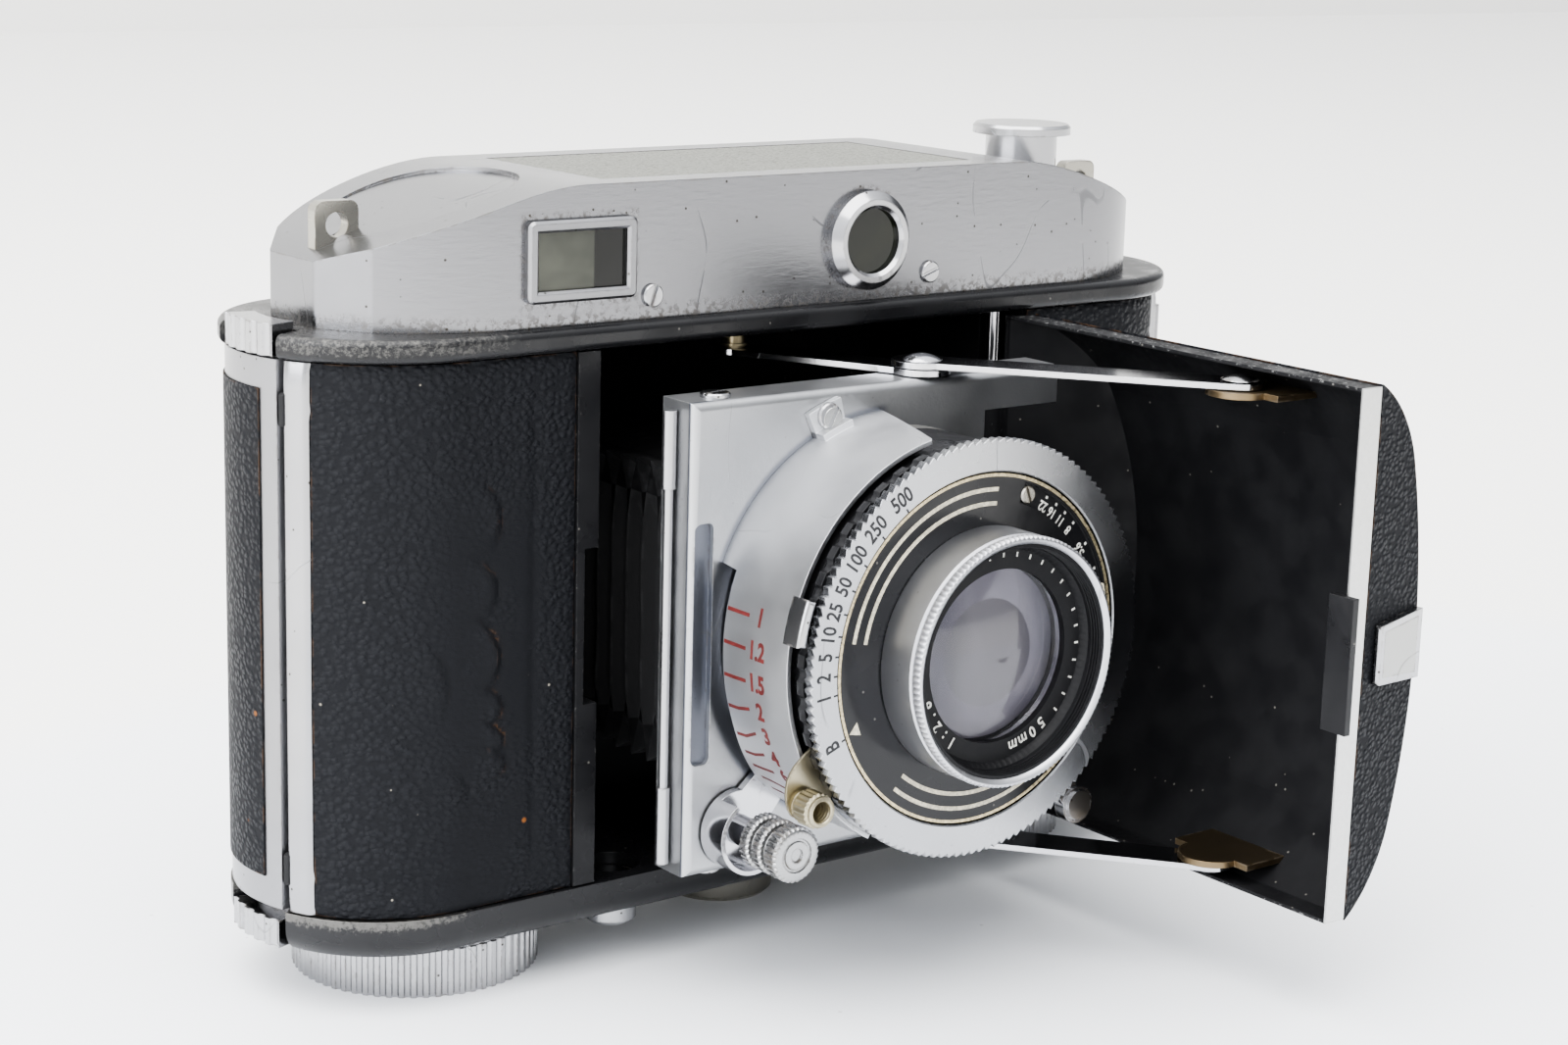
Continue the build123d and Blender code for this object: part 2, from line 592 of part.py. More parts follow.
with BuildPart() as release_button:
    with BuildSketch(Plane.XY.offset(78.0)):
        with Locations((RELEASE_X, RELEASE_Y)):
            Circle(4.3)
    extrude(amount=9.8)
    with BuildSketch(Plane.XY.offset(87.7)):
        with Locations((RELEASE_X, RELEASE_Y)):
            Circle(5.9)
    extrude(amount=1.2)
    chamfer(release_button.faces().sort_by(Axis.Z)[-1].edges(), 0.35)
release_button.part.label = "release_button"
export_step(release_button.part, "parts/release_button.step")

# ---------------------------------------------------------------- film transport
FLUTES = 64


def fluted_knob(centre_x, centre_y, radius, flutes):
    """Flat knob under the body with straight flutes, a dished underside and a short collar."""
    with BuildPart() as knob:
        with BuildSketch(Plane.XY):
            with Locations((centre_x, centre_y)):
                Circle(radius)
                with PolarLocations(radius + 0.12, flutes):
                    Circle(0.42, mode=Mode.SUBTRACT)
        extrude(amount=KNOB_TOP - 0.4)
        with BuildSketch(Plane.XY.offset(KNOB_TOP - 0.4)):
            with Locations((centre_x, centre_y)):
                Circle(radius - 0.35)
        extrude(amount=0.4)
        with BuildSketch(Plane.XY):
            with Locations((centre_x, centre_y)):
                Circle(radius - 3.0)
        extrude(amount=0.4, mode=Mode.SUBTRACT)
        with BuildSketch(Plane.XY.offset(KNOB_TOP)):
            with Locations((centre_x, centre_y)):
                Circle(2.7)
        extrude(amount=CHAMBER_FLOOR + 0.4 - KNOB_TOP)
    return knob.part


with BuildPart() as wind_knob:
    add(fluted_knob(SPOOL_X, SPOOL_Y, WIND_R, FLUTES))
wind_knob.part.label = "wind_knob"
export_step(wind_knob.part, "parts/wind_knob.step")

with BuildPart() as take_up_spool:
    for level, radius, height in ((13.0, 10.8, 1.2), (14.2, 5.4, 50.6), (64.8, 10.8, 1.2)):
        with BuildSketch(Plane.XY.offset(level)):
            with Locations((SPOOL_X, SPOOL_Y)):
                Circle(radius)
        extrude(amount=height)
take_up_spool.part.label = "take_up_spool"
export_step(take_up_spool.part, "parts/take_up_spool.step")

with BuildPart() as rewind_knob:
    add(fluted_knob(CASSETTE_X, CASSETTE_Y, REWIND_R, 44))
rewind_knob.part.label = "rewind_knob"
export_step(rewind_knob.part, "parts/rewind_knob.step")

with BuildPart() as rewind_fork:
    with BuildSketch(Plane.XY.offset(CHAMBER_FLOOR + 0.4)):
        with Locations((CASSETTE_X, CASSETTE_Y)):
            Circle(3.6)
    extrude(amount=3.0)
    with BuildSketch(Plane.XY.offset(CHAMBER_FLOOR + 3.4)):
        with Locations((CASSETTE_X, CASSETTE_Y)):
            Circle(2.6)
            Rectangle(1.8, 8.0, mode=Mode.SUBTRACT)
    extrude(amount=5.0)
rewind_fork.part.label = "rewind_fork"
export_step(rewind_fork.part, "parts/rewind_fork.step")

with BuildPart() as door_button:
    with BuildSketch(Plane.XY.offset(BASE_BOTTOM - 1.9)):
        with Locations((DOOR_BUTTON_X, DOOR_BUTTON_Y)):
            Circle(DOOR_BUTTON_R)
    extrude(amount=5.1)
    chamfer(door_button.faces().sort_by(Axis.Z)[0].edges(), 0.4)
door_button.part.label = "door_button"
export_step(door_button.part, "parts/door_button.step")

# ---------------------------------------------------------------- rear cover
COVER_LEFT_Y = SPLIT_Y
COVER_RIGHT_Y = -4.3
COVER_BOTTOM = LEATHER_BOTTOM + EDGE_GAP
COVER_HEIGHT = LEATHER_HEIGHT - 2 * EDGE_GAP
COVER_BORDER = 3.2


def cover_region(left_y, right_y):
    """Keep only what lies behind the split line, which differs at the two ends."""
    with BuildLine() as outline:
        Polyline(
            (-HALF_LENGTH - 5, left_y), (0, left_y), (0, right_y), (HALF_LENGTH + 5, right_y),
            (HALF_LENGTH + 5, HALF_DEPTH + 5), (-HALF_LENGTH - 5, HALF_DEPTH + 5), close=True,
        )
    make_face(outline.edges(), mode=Mode.INTERSECT)


with BuildPart() as rear_cover:
    with BuildSketch(Plane.XY.offset(COVER_BOTTOM)):
        stadium()
        SlotOverall(2 * (HALF_LENGTH - COVER_WALL), 2 * (HALF_DEPTH - COVER_WALL), mode=Mode.SUBTRACT)
        cover_region(COVER_LEFT_Y, COVER_RIGHT_Y)
    extrude(amount=COVER_HEIGHT)
    # recess for the leather, which leaves a bright border
    with BuildSketch(Plane.XY.offset(COVER_BOTTOM + COVER_BORDER)):
        stadium(1.0)
        SlotOverall(2 * (HALF_LENGTH - COVER_SKIN), 2 * (HALF_DEPTH - COVER_SKIN), mode=Mode.SUBTRACT)
        cover_region(COVER_LEFT_Y + 2.3, COVER_RIGHT_Y + 2.3)
    extrude(amount=COVER_HEIGHT - 2 * COVER_BORDER, mode=Mode.SUBTRACT)
    # hinge knuckles above and below the body's own
    for knuckle_z in (LEATHER_BOTTOM + 1.5, LENS_Z + 9.3):
        with BuildSketch(Plane.XY.offset(knuckle_z)):
            with Locations((COVER_HINGE_X, HINGE_Y)):
                Circle(HINGE_BARREL_R)
            with Locations((COVER_HINGE_X - 0.15, HINGE_Y + 1.2)):
                Rectangle(0.9, 1.6)
            with Locations((COVER_HINGE_X, HINGE_Y)):
                Circle(0.6 + RUNNING, mode=Mode.SUBTRACT)
        extrude(amount=17.5)
rear_cover.part.label = "rear_cover"
export_step(rear_cover.part, "parts/rear_cover.step")

with BuildPart() as rear_leather:
    with BuildSketch(Plane.XY.offset(COVER_BOTTOM + COVER_BORDER)):
        stadium(0.2)
        SlotOverall(2 * (HALF_LENGTH - COVER_SKIN), 2 * (HALF_DEPTH - COVER_SKIN), mode=Mode.SUBTRACT)
        cover_region(COVER_LEFT_Y + 2.3, COVER_RIGHT_Y + 2.3)
    extrude(amount=COVER_HEIGHT - 2 * COVER_BORDER)
rear_leather.part.label = "rear_leather"
export_step(rear_leather.part, "parts/rear_leather.step")

with BuildPart() as pressure_plate:
    with BuildSketch(front_plane(12.6)):
        with Locations((0, LENS_Z)):
            RectangleRounded(58.0, 37.0, 2.0)
    extrude(amount=0.8)
pressure_plate.part.label = "pressure_plate"
export_step(pressure_plate.part, "parts/pressure_plate.step")

with BuildPart() as pressure_spring:
    with BuildSketch(Plane.XY.offset(LENS_Z - 5)):
        with BuildLine():
            ThreePointArc((-15, 14.5), (0, 12.6), (15, 14.5))
            Line((15, 14.5), (14.2, 14.5))
            ThreePointArc((14.2, 14.5), (0, 12.9), (-14.2, 14.5))
            Line((-14.2, 14.5), (-15, 14.5))
        make_face()
    extrude(amount=10)
pressure_spring.part.label = "pressure_spring"
export_step(pressure_spring.part, "parts/pressure_spring.step")

# bar inside the left end, with a ridged grip standing out at its top and bottom
with BuildPart() as latch_bar:
    with BuildSketch(Plane.XY.offset(BASE_BOTTOM + 0.5)):
        ring_sector(13.4, 14.2, LATCH_FROM + 3, LATCH_TO - 3, (-END_X, 0))
    extrude(amount=RAIL_TOP + 0.9 - BASE_BOTTOM - 0.5)
    for grip_bottom, grip_top in ((BASE_BOTTOM + 0.5, COVER_BOTTOM - LATCH_TRAVEL - 0.3),
                                  (LEATHER_TOP + 0.1, RAIL_TOP + 0.9)):
        with BuildSketch(Plane.XY.offset(grip_bottom)):
            ring_sector(13.4, 16.5, LATCH_FROM, LATCH_TO, (-END_X, 0))
            for step in range(5):
                groove = radians(LATCH_FROM + 2.5 + step * 7.0)
                with Locations((-END_X + 16.9 * cos(groove), 16.9 * sin(groove))):
                    Circle(0.75, mode=Mode.SUBTRACT)
        extrude(amount=grip_top - grip_bottom)
latch_bar.part.label = "latch_bar"
export_step(latch_bar.part, "parts/latch_bar.step")

# ---------------------------------------------------------------- door
def door_arch(grow, front_x):
    """The door's section: plain rim walls, then an arched back.  Drawn in the active sketch."""
    low = DOOR_MID_Z - DOOR_HALF_HEIGHT - grow
    high = DOOR_MID_Z + DOOR_HALF_HEIGHT + grow
    rim = DOOR_FACE_X + RIM_DEPTH
    shoulder = DOOR_FACE_X + DOOR_SHOULDER + grow
    crown = DOOR_FACE_X + DOOR_BULGE + grow
    corner = DOOR_FACE_X + DOOR_CORNER[0] + 0.7 * grow
    corner_half = DOOR_CORNER[1] + 0.7 * grow
    with BuildLine() as outline:
        Line((front_x, low), (rim, low))
        ThreePointArc((rim, low), (corner, DOOR_MID_Z - corner_half), (shoulder, DOOR_MID_Z - SHOULDER_HALF))
        ThreePointArc(
            (shoulder, DOOR_MID_Z - SHOULDER_HALF), (crown, DOOR_MID_Z), (shoulder, DOOR_MID_Z + SHOULDER_HALF)
        )
        ThreePointArc((shoulder, DOOR_MID_Z + SHOULDER_HALF), (corner, DOOR_MID_Z + corner_half), (rim, high))
        Line((rim, high), (front_x, high))
        Line((front_x, high), (front_x, low))
    make_face(outline.edges())


def door_block(grow, front_x):
    """The door as a solid block, grown all round; front_x is where its open face is cut."""
    with BuildPart() as block:
        with BuildSketch(front_plane(-10)):
            door_arch(grow, front_x)
        extrude(amount=70)
        back_x = DOOR_FACE_X + DOOR_BULGE + 2
        with BuildSketch(Plane.XY):
            with BuildLine():
                Polyline(
                    (front_x, -15.0 + grow), (DOOR_FACE_X + 0.4, -15.0 + grow),
                    (back_x, -27.0 + 1.4 * grow), (back_x, -66.8 - grow),
                    (DOOR_FACE_X + RIM_DEPTH, -69.3 - grow), (DOOR_FACE_X + RIM_DEPTH, DOOR_END_Y - grow),
                    (front_x, DOOR_END_Y - grow), close=True,
                )
            make_face()
        extrude(amount=80, mode=Mode.INTERSECT)
    return block.part


BARREL_RANGES = ((14.0, 27.0), (51.0, 62.5))

with BuildPart() as door_shell:
    add(door_block(0.0, DOOR_FACE_X))
    add(door_block(-DOOR_SHEET, DOOR_FACE_X - 1), mode=Mode.SUBTRACT)
    for barrel_low, barrel_high in BARREL_RANGES:
        with BuildSketch(Plane.XY.offset(barrel_low)):
            with Locations((DOOR_HINGE_X, DOOR_HINGE_Y)):
                Circle(1.5)
            with Locations((DOOR_HINGE_X + 0.8, DOOR_HINGE_Y - 1.4)):
                Rectangle(0.8, 1.6)
            with Locations((DOOR_HINGE_X, DOOR_HINGE_Y)):
                Circle(0.8 + RUNNING, mode=Mode.SUBTRACT)
        extrude(amount=barrel_high - barrel_low)
door_shell.part.label = "door_shell"
export_step(door_shell.part, "parts/door_shell.step")

with BuildPart() as door_leather:
    add(door_block(DOOR_SKIN, DOOR_FACE_X))
    add(door_block(0.0, DOOR_FACE_X - 1), mode=Mode.SUBTRACT)
    with BuildSketch(Plane.XY):
        with Locations((DOOR_FACE_X + RIM_DEPTH - 5 + 0.2, -40)):
            Rectangle(10, 80)
    extrude(amount=80, mode=Mode.SUBTRACT)
door_leather.part.label = "door_leather"
export_step(door_leather.part, "parts/door_leather.step")

# trapezoid pull plate on the free-end wall, standing on the leather
END_SLOPE_X0 = DOOR_FACE_X + RIM_DEPTH
END_SLOPE_X1 = DOOR_FACE_X + DOOR_BULGE + 2
END_SLOPE_Y0 = -69.3 - DOOR_SKIN
END_SLOPE_Y1 = -66.8 - DOOR_SKIN
slope_length = hypot(END_SLOPE_X1 - END_SLOPE_X0, END_SLOPE_Y1 - END_SLOPE_Y0)
slope_dir = ((END_SLOPE_X1 - END_SLOPE_X0) / slope_length, (END_SLOPE_Y1 - END_SLOPE_Y0) / slope_length)
pull_plane = Plane(
    origin=(END_SLOPE_X0, END_SLOPE_Y0, DOOR_MID_Z),
    x_dir=(slope_dir[0], slope_dir[1], 0),
    z_dir=(slope_dir[1], -slope_dir[0], 0),
)
with BuildPart() as door_pull:
    with BuildSketch(pull_plane.offset(0.02)):
        with BuildLine():
            Polyline((1.9, -3.2), (1.9, 3.2), (10.4, 3.8), (10.4, -3.8), close=True)
        make_face()
    extrude(amount=0.9)
    chamfer(door_pull.faces().sort_by(Axis.Y)[0].edges(), 0.3)
door_pull.part.label = "door_pull"
export_step(door_pull.part, "parts/door_pull.step")

with BuildPart() as door_catch:
    with BuildSketch(Plane.XY.offset(LENS_Z - 7.3)):
        with BuildLine():
            Polyline(
                (DOOR_FACE_X, -67.6), (DOOR_FACE_X, -71.0), (DOOR_FACE_X - 0.8, -71.0),
                (DOOR_FACE_X - 0.8, -67.6), close=True,
            )
        make_face()
    extrude(amount=14.6)
door_catch.part.label = "door_catch"
export_step(door_catch.part, "parts/door_catch.step")

# the two long hinge rods, of the door and of the rear cover
with BuildPart() as hinge_rods:
    with BuildSketch(Plane.XY.offset(LEATHER_BOTTOM)):
        with Locations((DOOR_HINGE_X, DOOR_HINGE_Y)):
            Circle(0.8)
    extrude(amount=LEATHER_HEIGHT)
    with BuildSketch(Plane.XY.offset(LEATHER_BOTTOM + 1.0)):
        with Locations((COVER_HINGE_X, HINGE_Y)):
            Circle(0.6)
    extrude(amount=LEATHER_HEIGHT - 2.0)
hinge_rods.part.label = "hinge_rods"
export_step(hinge_rods.part, "parts/hinge_rods.step")

# ---------------------------------------------------------------- struts
def strut(start, end, start_r, end_r, level, start_hole_r, end_hole_r):
    """Flat bar with a round eye at each end; a hole radius of 0 leaves that eye solid."""
    length = hypot(end[0] - start[0], end[1] - start[1])
    direction = (end[0] - start[0]) / length, (end[1] - start[1]) / length
    bar_plane = Plane(origin=(start[0], start[1], level), x_dir=(direction[0], direction[1], 0), z_dir=(0, 0, 1))
    with BuildPart() as bar:
        with BuildSketch(bar_plane):
            Circle(start_r)
            with Locations((length, 0)):
                Circle(end_r)
            with BuildLine():
                Polyline(
                    (0, -min(start_r, STRUT_HALF)), (length, -min(end_r, STRUT_HALF)),
                    (length, min(end_r, STRUT_HALF)), (0, min(start_r, STRUT_HALF)), close=True,
                )
            make_face()
            if start_hole_r > 0:
                Circle(start_hole_r, mode=Mode.SUBTRACT)
            if end_hole_r > 0:
                with Locations((length, 0)):
                    Circle(end_hole_r, mode=Mode.SUBTRACT)
        extrude(amount=STRUT_SHEET)
    return bar.part


body_bar = strut((POST_X, POST_Y), (KNEE_X, KNEE_Y), POST_EYE_R, KNEE_R, BODY_STRUT_Z, POST_R + RUNNING, 0)
door_bar = strut((DOOR_PIVOT_X, DOOR_PIVOT_Y), (KNEE_X, KNEE_Y), DOOR_EYE_R, KNEE_R, DOOR_STRUT_Z,
                 RIVET_PIN_R + RUNNING, 0)

with BuildPart() as body_struts:
    add(body_bar)
    add(mirrored_in_height(body_bar))
body_struts.part.label = "body_struts"
export_step(body_struts.part, "parts/body_struts.step")

with BuildPart() as door_struts:
    add(door_bar)
    add(mirrored_in_height(door_bar))
door_struts.part.label = "door_struts"
export_step(door_struts.part, "parts/door_struts.step")


def cap_height(radius, bow, distance):
    """Height of a spherical cap of rim radius and bow, at a distance from its axis."""
    sphere = (radius ** 2 + bow ** 2) / (2 * bow)
    return bow - (sphere - sqrt(sphere ** 2 - distance ** 2))


def domed_head(x, y, level, radius, height):
    """Low rivet dome standing on a level."""
    with BuildPart() as head:
        with BuildSketch(Plane(origin=(x, y, level), x_dir=(1, 0, 0), z_dir=(0, -1, 0))):
            with BuildLine():
                Line((0, 0), (radius, 0))
                ThreePointArc((radius, 0), (radius / 2, cap_height(radius, height, radius / 2)), (0, height))
                Line((0, height), (0, 0))
            make_face()
        revolve(axis=Axis((x, y, level), (0, 0, 1)))
    return head.part


knee_head = domed_head(KNEE_X, KNEE_Y, STRUT_TOP, 2.3, 0.75)
with BuildPart() as knee_rivets:
    add(knee_head)
    add(mirrored_in_height(knee_head))
knee_rivets.part.label = "knee_rivets"
export_step(knee_rivets.part, "parts/knee_rivets.step")

# half-moon brackets inside the door, with the pivot rivets of the door struts
BRACKET_SHEET = 0.7
BRACKET_Z = DOOR_STRUT_Z - STRUT_AIR - BRACKET_SHEET


def half_moon(level):
    """One bracket: a round nose under the pivot, running out to the door's wall."""
    with BuildPart() as bracket:
        with BuildSketch(Plane.XY.offset(level)):
            with Locations((DOOR_PIVOT_X, DOOR_PIVOT_Y)):
                Circle(3.6)
            with Locations((DOOR_PIVOT_X + 3.0, DOOR_PIVOT_Y)):
                Rectangle(6.0, 11.0)
        extrude(amount=BRACKET_SHEET)
        add(door_block(-DOOR_SHEET, DOOR_FACE_X - 10), mode=Mode.INTERSECT)
    return bracket.part


with BuildPart() as strut_brackets:
    add(half_moon(BRACKET_Z))
    add(half_moon(2 * LENS_Z - BRACKET_Z - BRACKET_SHEET))
strut_brackets.part.label = "strut_brackets"
export_step(strut_brackets.part, "parts/strut_brackets.step")

with BuildPart() as upper_pivot:
    with BuildSketch(Plane.XY.offset(BRACKET_Z + BRACKET_SHEET)):
        with Locations((DOOR_PIVOT_X, DOOR_PIVOT_Y)):
            Circle(RIVET_PIN_R)
    extrude(amount=STRUT_TOP + STRUT_AIR - BRACKET_Z - BRACKET_SHEET)
    add(domed_head(DOOR_PIVOT_X, DOOR_PIVOT_Y, STRUT_TOP + STRUT_AIR, 2.1, 0.6))
with BuildPart() as door_rivets:
    add(upper_pivot.part)
    add(mirrored_in_height(upper_pivot.part))
door_rivets.part.label = "door_rivets"
export_step(door_rivets.part, "parts/door_rivets.step")

with BuildPart() as upper_post:
    with BuildSketch(Plane.XY.offset(BODY_STRUT_Z)):
        with Locations((POST_X, POST_Y)):
            Circle(POST_R)
    extrude(amount=LEATHER_TOP - BODY_STRUT_Z)
    with BuildSketch(Plane.XY.offset(BODY_STRUT_Z + STRUT_SHEET + STRUT_AIR)):
        with Locations((POST_X, POST_Y)):
            Circle(POST_R + 0.25)
    extrude(amount=0.3)
with BuildPart() as strut_posts:
    add(upper_post.part)
    low_post_bottom = LEATHER_BOTTOM
    low_post_top = 2 * LENS_Z - BODY_STRUT_Z
    with BuildSketch(Plane.XY.offset(low_post_bottom)):
        with Locations((POST_X, POST_Y)):
            Circle(POST_R)
    extrude(amount=low_post_top - low_post_bottom)
strut_posts.part.label = "strut_posts"
export_step(strut_posts.part, "parts/strut_posts.step")

# ---------------------------------------------------------------- lens standard
FLANGE_DEPTH = 5.5
SLOT_HALF = 0.8

with BuildPart() as lens_standard:
    with BuildSketch(lens_plane(STANDARD_FRONT + STANDARD_SHEET)):
        with Locations(((PLATE_RIGHT - STANDARD_HALF) / 2, 0)):
            Rectangle(PLATE_RIGHT + STANDARD_HALF, 2 * STANDARD_HALF_HEIGHT - 0.1)
        with Locations((0, STANDARD_HALF_HEIGHT - 0.05 - ARM_HEIGHT / 2),
                       (0, -STANDARD_HALF_HEIGHT + 0.05 + ARM_HEIGHT / 2)):
            Rectangle(2 * STANDARD_HALF, ARM_HEIGHT)
        Circle(15.0, mode=Mode.SUBTRACT)
    extrude(amount=STANDARD_SHEET)
    # top and bottom flanges and the left return, all bent back from the plate
    with BuildSketch(lens_plane(STANDARD_FRONT + FLANGE_DEPTH)):
        with Locations((0, STANDARD_HALF_HEIGHT - 0.05 - STANDARD_SHEET / 2),
                       (0, -STANDARD_HALF_HEIGHT + 0.05 + STANDARD_SHEET / 2)):
            Rectangle(2 * STANDARD_HALF, STANDARD_SHEET)
        with Locations((-STANDARD_HALF + STANDARD_SHEET / 2, 0)):
            Rectangle(STANDARD_SHEET, 2 * STANDARD_HALF_HEIGHT - 0.1)
    extrude(amount=FLANGE_DEPTH)
    # the bends are round
    front_edges = lens_standard.faces().sort_by(Axis.Y)[0].edges()
    long_bends = front_edges.filter_by(Axis.X).sort_by(Axis.Z)
    left_bend = front_edges.filter_by(Axis.Z).sort_by(Axis.X)[0]
    fillet([long_bends[0], long_bends[-1], left_bend], 0.9)
    # long recess pressed into the left edge
    with BuildSketch(lens_plane(STANDARD_FRONT + 0.75)):
        with Locations((-23.35, 39.2 - LENS_Z)):
            RectangleRounded(2.3, 26.0, 0.7)
    extrude(amount=1, mode=Mode.SUBTRACT)
    # slots that guide the two knees
    with BuildSketch(Plane.XY.offset(LENS_Z - 40)):
        with Locations(((KNEE_X + shut_knee_x) / 2, KNEE_Y)):
            SlotCenterToCenter(shut_knee_x - KNEE_X, 2 * SLOT_HALF)
    extrude(amount=80, mode=Mode.SUBTRACT)
lens_standard.part.label = "lens_standard"
export_step(lens_standard.part, "parts/lens_standard.step")

with BuildPart() as standard_rod:
    rod_x = -STANDARD_HALF - 0.75
    rod_y = STANDARD_FRONT + 3.2
    for rod_low, rod_high, rod_r in ((15.0, 23.4, 0.75), (23.4, 55.6, 0.5), (55.6, 63.8, 0.75)):
        with BuildSketch(Plane.XY.offset(rod_low)):
            with Locations((rod_x, rod_y)):
                Circle(rod_r)
        extrude(amount=rod_high - rod_low)
standard_rod.part.label = "standard_rod"
export_step(standard_rod.part, "parts/standard_rod.step")

BAND_FRONT = -41.7
BAND_BACK = -30.8
BAND_FROM = 92.0            # angles round the lens axis
BAND_NOTCH = 158.0
BAND_TO = 240.0
CLIP_ANGLE = 110.0

with BuildPart() as distance_scale:
    with BuildSketch(lens_plane(BAND_BACK)):
        ring_sector(BAND_R, BAND_R + 0.5, BAND_FROM, BAND_TO)
    extrude(amount=BAND_BACK - BAND_FRONT)
    # the wide half stands on the standard; behind the scale there is room for the focusing arm
    with BuildSketch(lens_plane(STANDARD_FRONT)):
        ring_sector(BAND_R, BAND_R + 0.5, BAND_FROM, BAND_NOTCH)
    extrude(amount=STANDARD_FRONT - BAND_BACK)
    with BuildSketch(lens_plane(STANDARD_FRONT)):
        ring_sector(BAND_R, BAND_R + 0.5, BAND_TO - 3, BAND_TO)
    extrude(amount=STANDARD_FRONT - BAND_BACK)
    # screwed foot
    with BuildSketch(lens_plane(STANDARD_FRONT)):
        ring_sector(BAND_R + 0.3, BAND_R + 4.0, CLIP_ANGLE - 5, CLIP_ANGLE + 5)
    extrude(amount=0.8)
distance_scale.part.label = "distance_scale"
export_step(distance_scale.part, "parts/distance_scale.step")

with BuildPart() as standard_screws:
    clip_x, clip_y = around_lens(BAND_R + 2.3, CLIP_ANGLE)
    clip_plane = Plane(origin=(clip_x, STANDARD_FRONT - 0.8, LENS_Z + clip_y), x_dir=(1, 0, 0), z_dir=(0, -1, 0))
    add(clip_plane * slotted_head(1.4, 0.6, 60))
    top_plane = Plane(origin=(-20.5, STANDARD_FRONT + 2.6, STANDARD_TOP), x_dir=(1, 0, 0), z_dir=(0, 0, 1))
    add(top_plane * slotted_head(1.6, 0.5, 15))
    low_plane = Plane(
        origin=(-20.5, STANDARD_FRONT + 2.6, 2 * LENS_Z - STANDARD_TOP), x_dir=(1, 0, 0), z_dir=(0, 0, -1)
    )
    add(low_plane * slotted_head(1.6, 0.5, 15))
standard_screws.part.label = "standard_screws"
export_step(standard_screws.part, "parts/standard_screws.step")

# bellows as one closed sleeve with a rectangular bore
BELLOWS_FRONT = STANDARD_FRONT + STANDARD_SHEET
with BuildPart() as bellows:
    with BuildSketch(front_plane(CHAMBER_BACK)):
        with Locations((-0.6, LENS_Z)):
            Rectangle(43.0, 33.0)
    with BuildSketch(front_plane(BELLOWS_FRONT)):
        with Locations((-2.2, LENS_Z)):
            Rectangle(41.0, 36.0)
    loft()
    with BuildSketch(front_plane(CHAMBER_BACK)):
        with Locations((-0.6, LENS_Z)):
            Rectangle(37.0, 25.0)
    with BuildSketch(front_plane(BELLOWS_FRONT)):
        with Locations((-1.0, LENS_Z)):
            Rectangle(33.0, 30.0)
    loft(mode=Mode.SUBTRACT)
bellows.part.label = "bellows"
export_step(bellows.part, "parts/bellows.step")

# ---------------------------------------------------------------- focusing ring and its knob
BRACKET_R = 4.3             # cup-shaped bracket behind the focusing knob
with BuildPart() as focus_ring:
    with BuildSketch(lens_plane(STANDARD_FRONT - 0.25)):
        Circle(20.8)
        ring_sector(20.0, FOCUS_KNOB_R, FOCUS_ANGLE - 6, FOCUS_ANGLE + 6)
        with Locations(around_lens(FOCUS_KNOB_R, FOCUS_ANGLE)):
            Circle(BRACKET_R)
        Circle(14.65, mode=Mode.SUBTRACT)
    extrude(amount=0.95)
    # its upturned rim, open on the side of the lens, and the solid block under the knob
    with BuildSketch(lens_plane(STANDARD_FRONT - 1.2)):
        with Locations(around_lens(FOCUS_KNOB_R, FOCUS_ANGLE)):
            Circle(BRACKET_R)
            Circle(BRACKET_R - 0.5, mode=Mode.SUBTRACT)
        ring_sector(18.0, FOCUS_KNOB_R - 0.8, FOCUS_ANGLE - 15, FOCUS_ANGLE + 15, mode=Mode.SUBTRACT)
    extrude(amount=2.8)
    with BuildSketch(lens_plane(STANDARD_FRONT - 1.2)):
        with Locations(around_lens(FOCUS_KNOB_R, FOCUS_ANGLE)):
            Circle(1.6)
    extrude(amount=3.8)
focus_ring.part.label = "focus_ring"
export_step(focus_ring.part, "parts/focus_ring.step")

with BuildPart() as focus_knob:
    knob_x, knob_y = around_lens(FOCUS_KNOB_R, FOCUS_ANGLE)
    for tier_back, tier_front, tier_r in ((-33.2, -34.9, 3.0), (-34.9, -35.3, 2.4), (-35.3, -37.0, 3.0),
                                          (-37.0, -37.4, 2.4), (-37.4, -39.6, 3.0)):
        with BuildSketch(lens_plane(tier_back)):
            with Locations((knob_x, knob_y)):
                Circle(tier_r)
        extrude(amount=tier_back - tier_front)
focus_knob.part.label = "focus_knob"
export_step(focus_knob.part, "parts/focus_knob.step")

# ---------------------------------------------------------------- shutter
with BuildPart() as shutter_housing:
    with BuildSketch(lens_plane(SHUTTER_BACK)):
        Circle(21.2)
        Circle(12.0, mode=Mode.SUBTRACT)
    extrude(amount=SHUTTER_BACK - SHUTTER_FRONT)
    with BuildSketch(lens_plane(SHUTTER_FRONT)):
        Circle(18.6)
        Circle(12.0, mode=Mode.SUBTRACT)
    extrude(amount=SHUTTER_FRONT - COLLAR_BACK)
    # screwed neck that passes through the standard
    with BuildSketch(lens_plane(STANDARD_FRONT + 3.0)):
        Circle(14.3)
        Circle(12.0, mode=Mode.SUBTRACT)
    extrude(amount=STANDARD_FRONT + 3.0 - SHUTTER_BACK)
shutter_housing.part.label = "shutter_housing"
export_step(shutter_housing.part, "parts/shutter_housing.step")

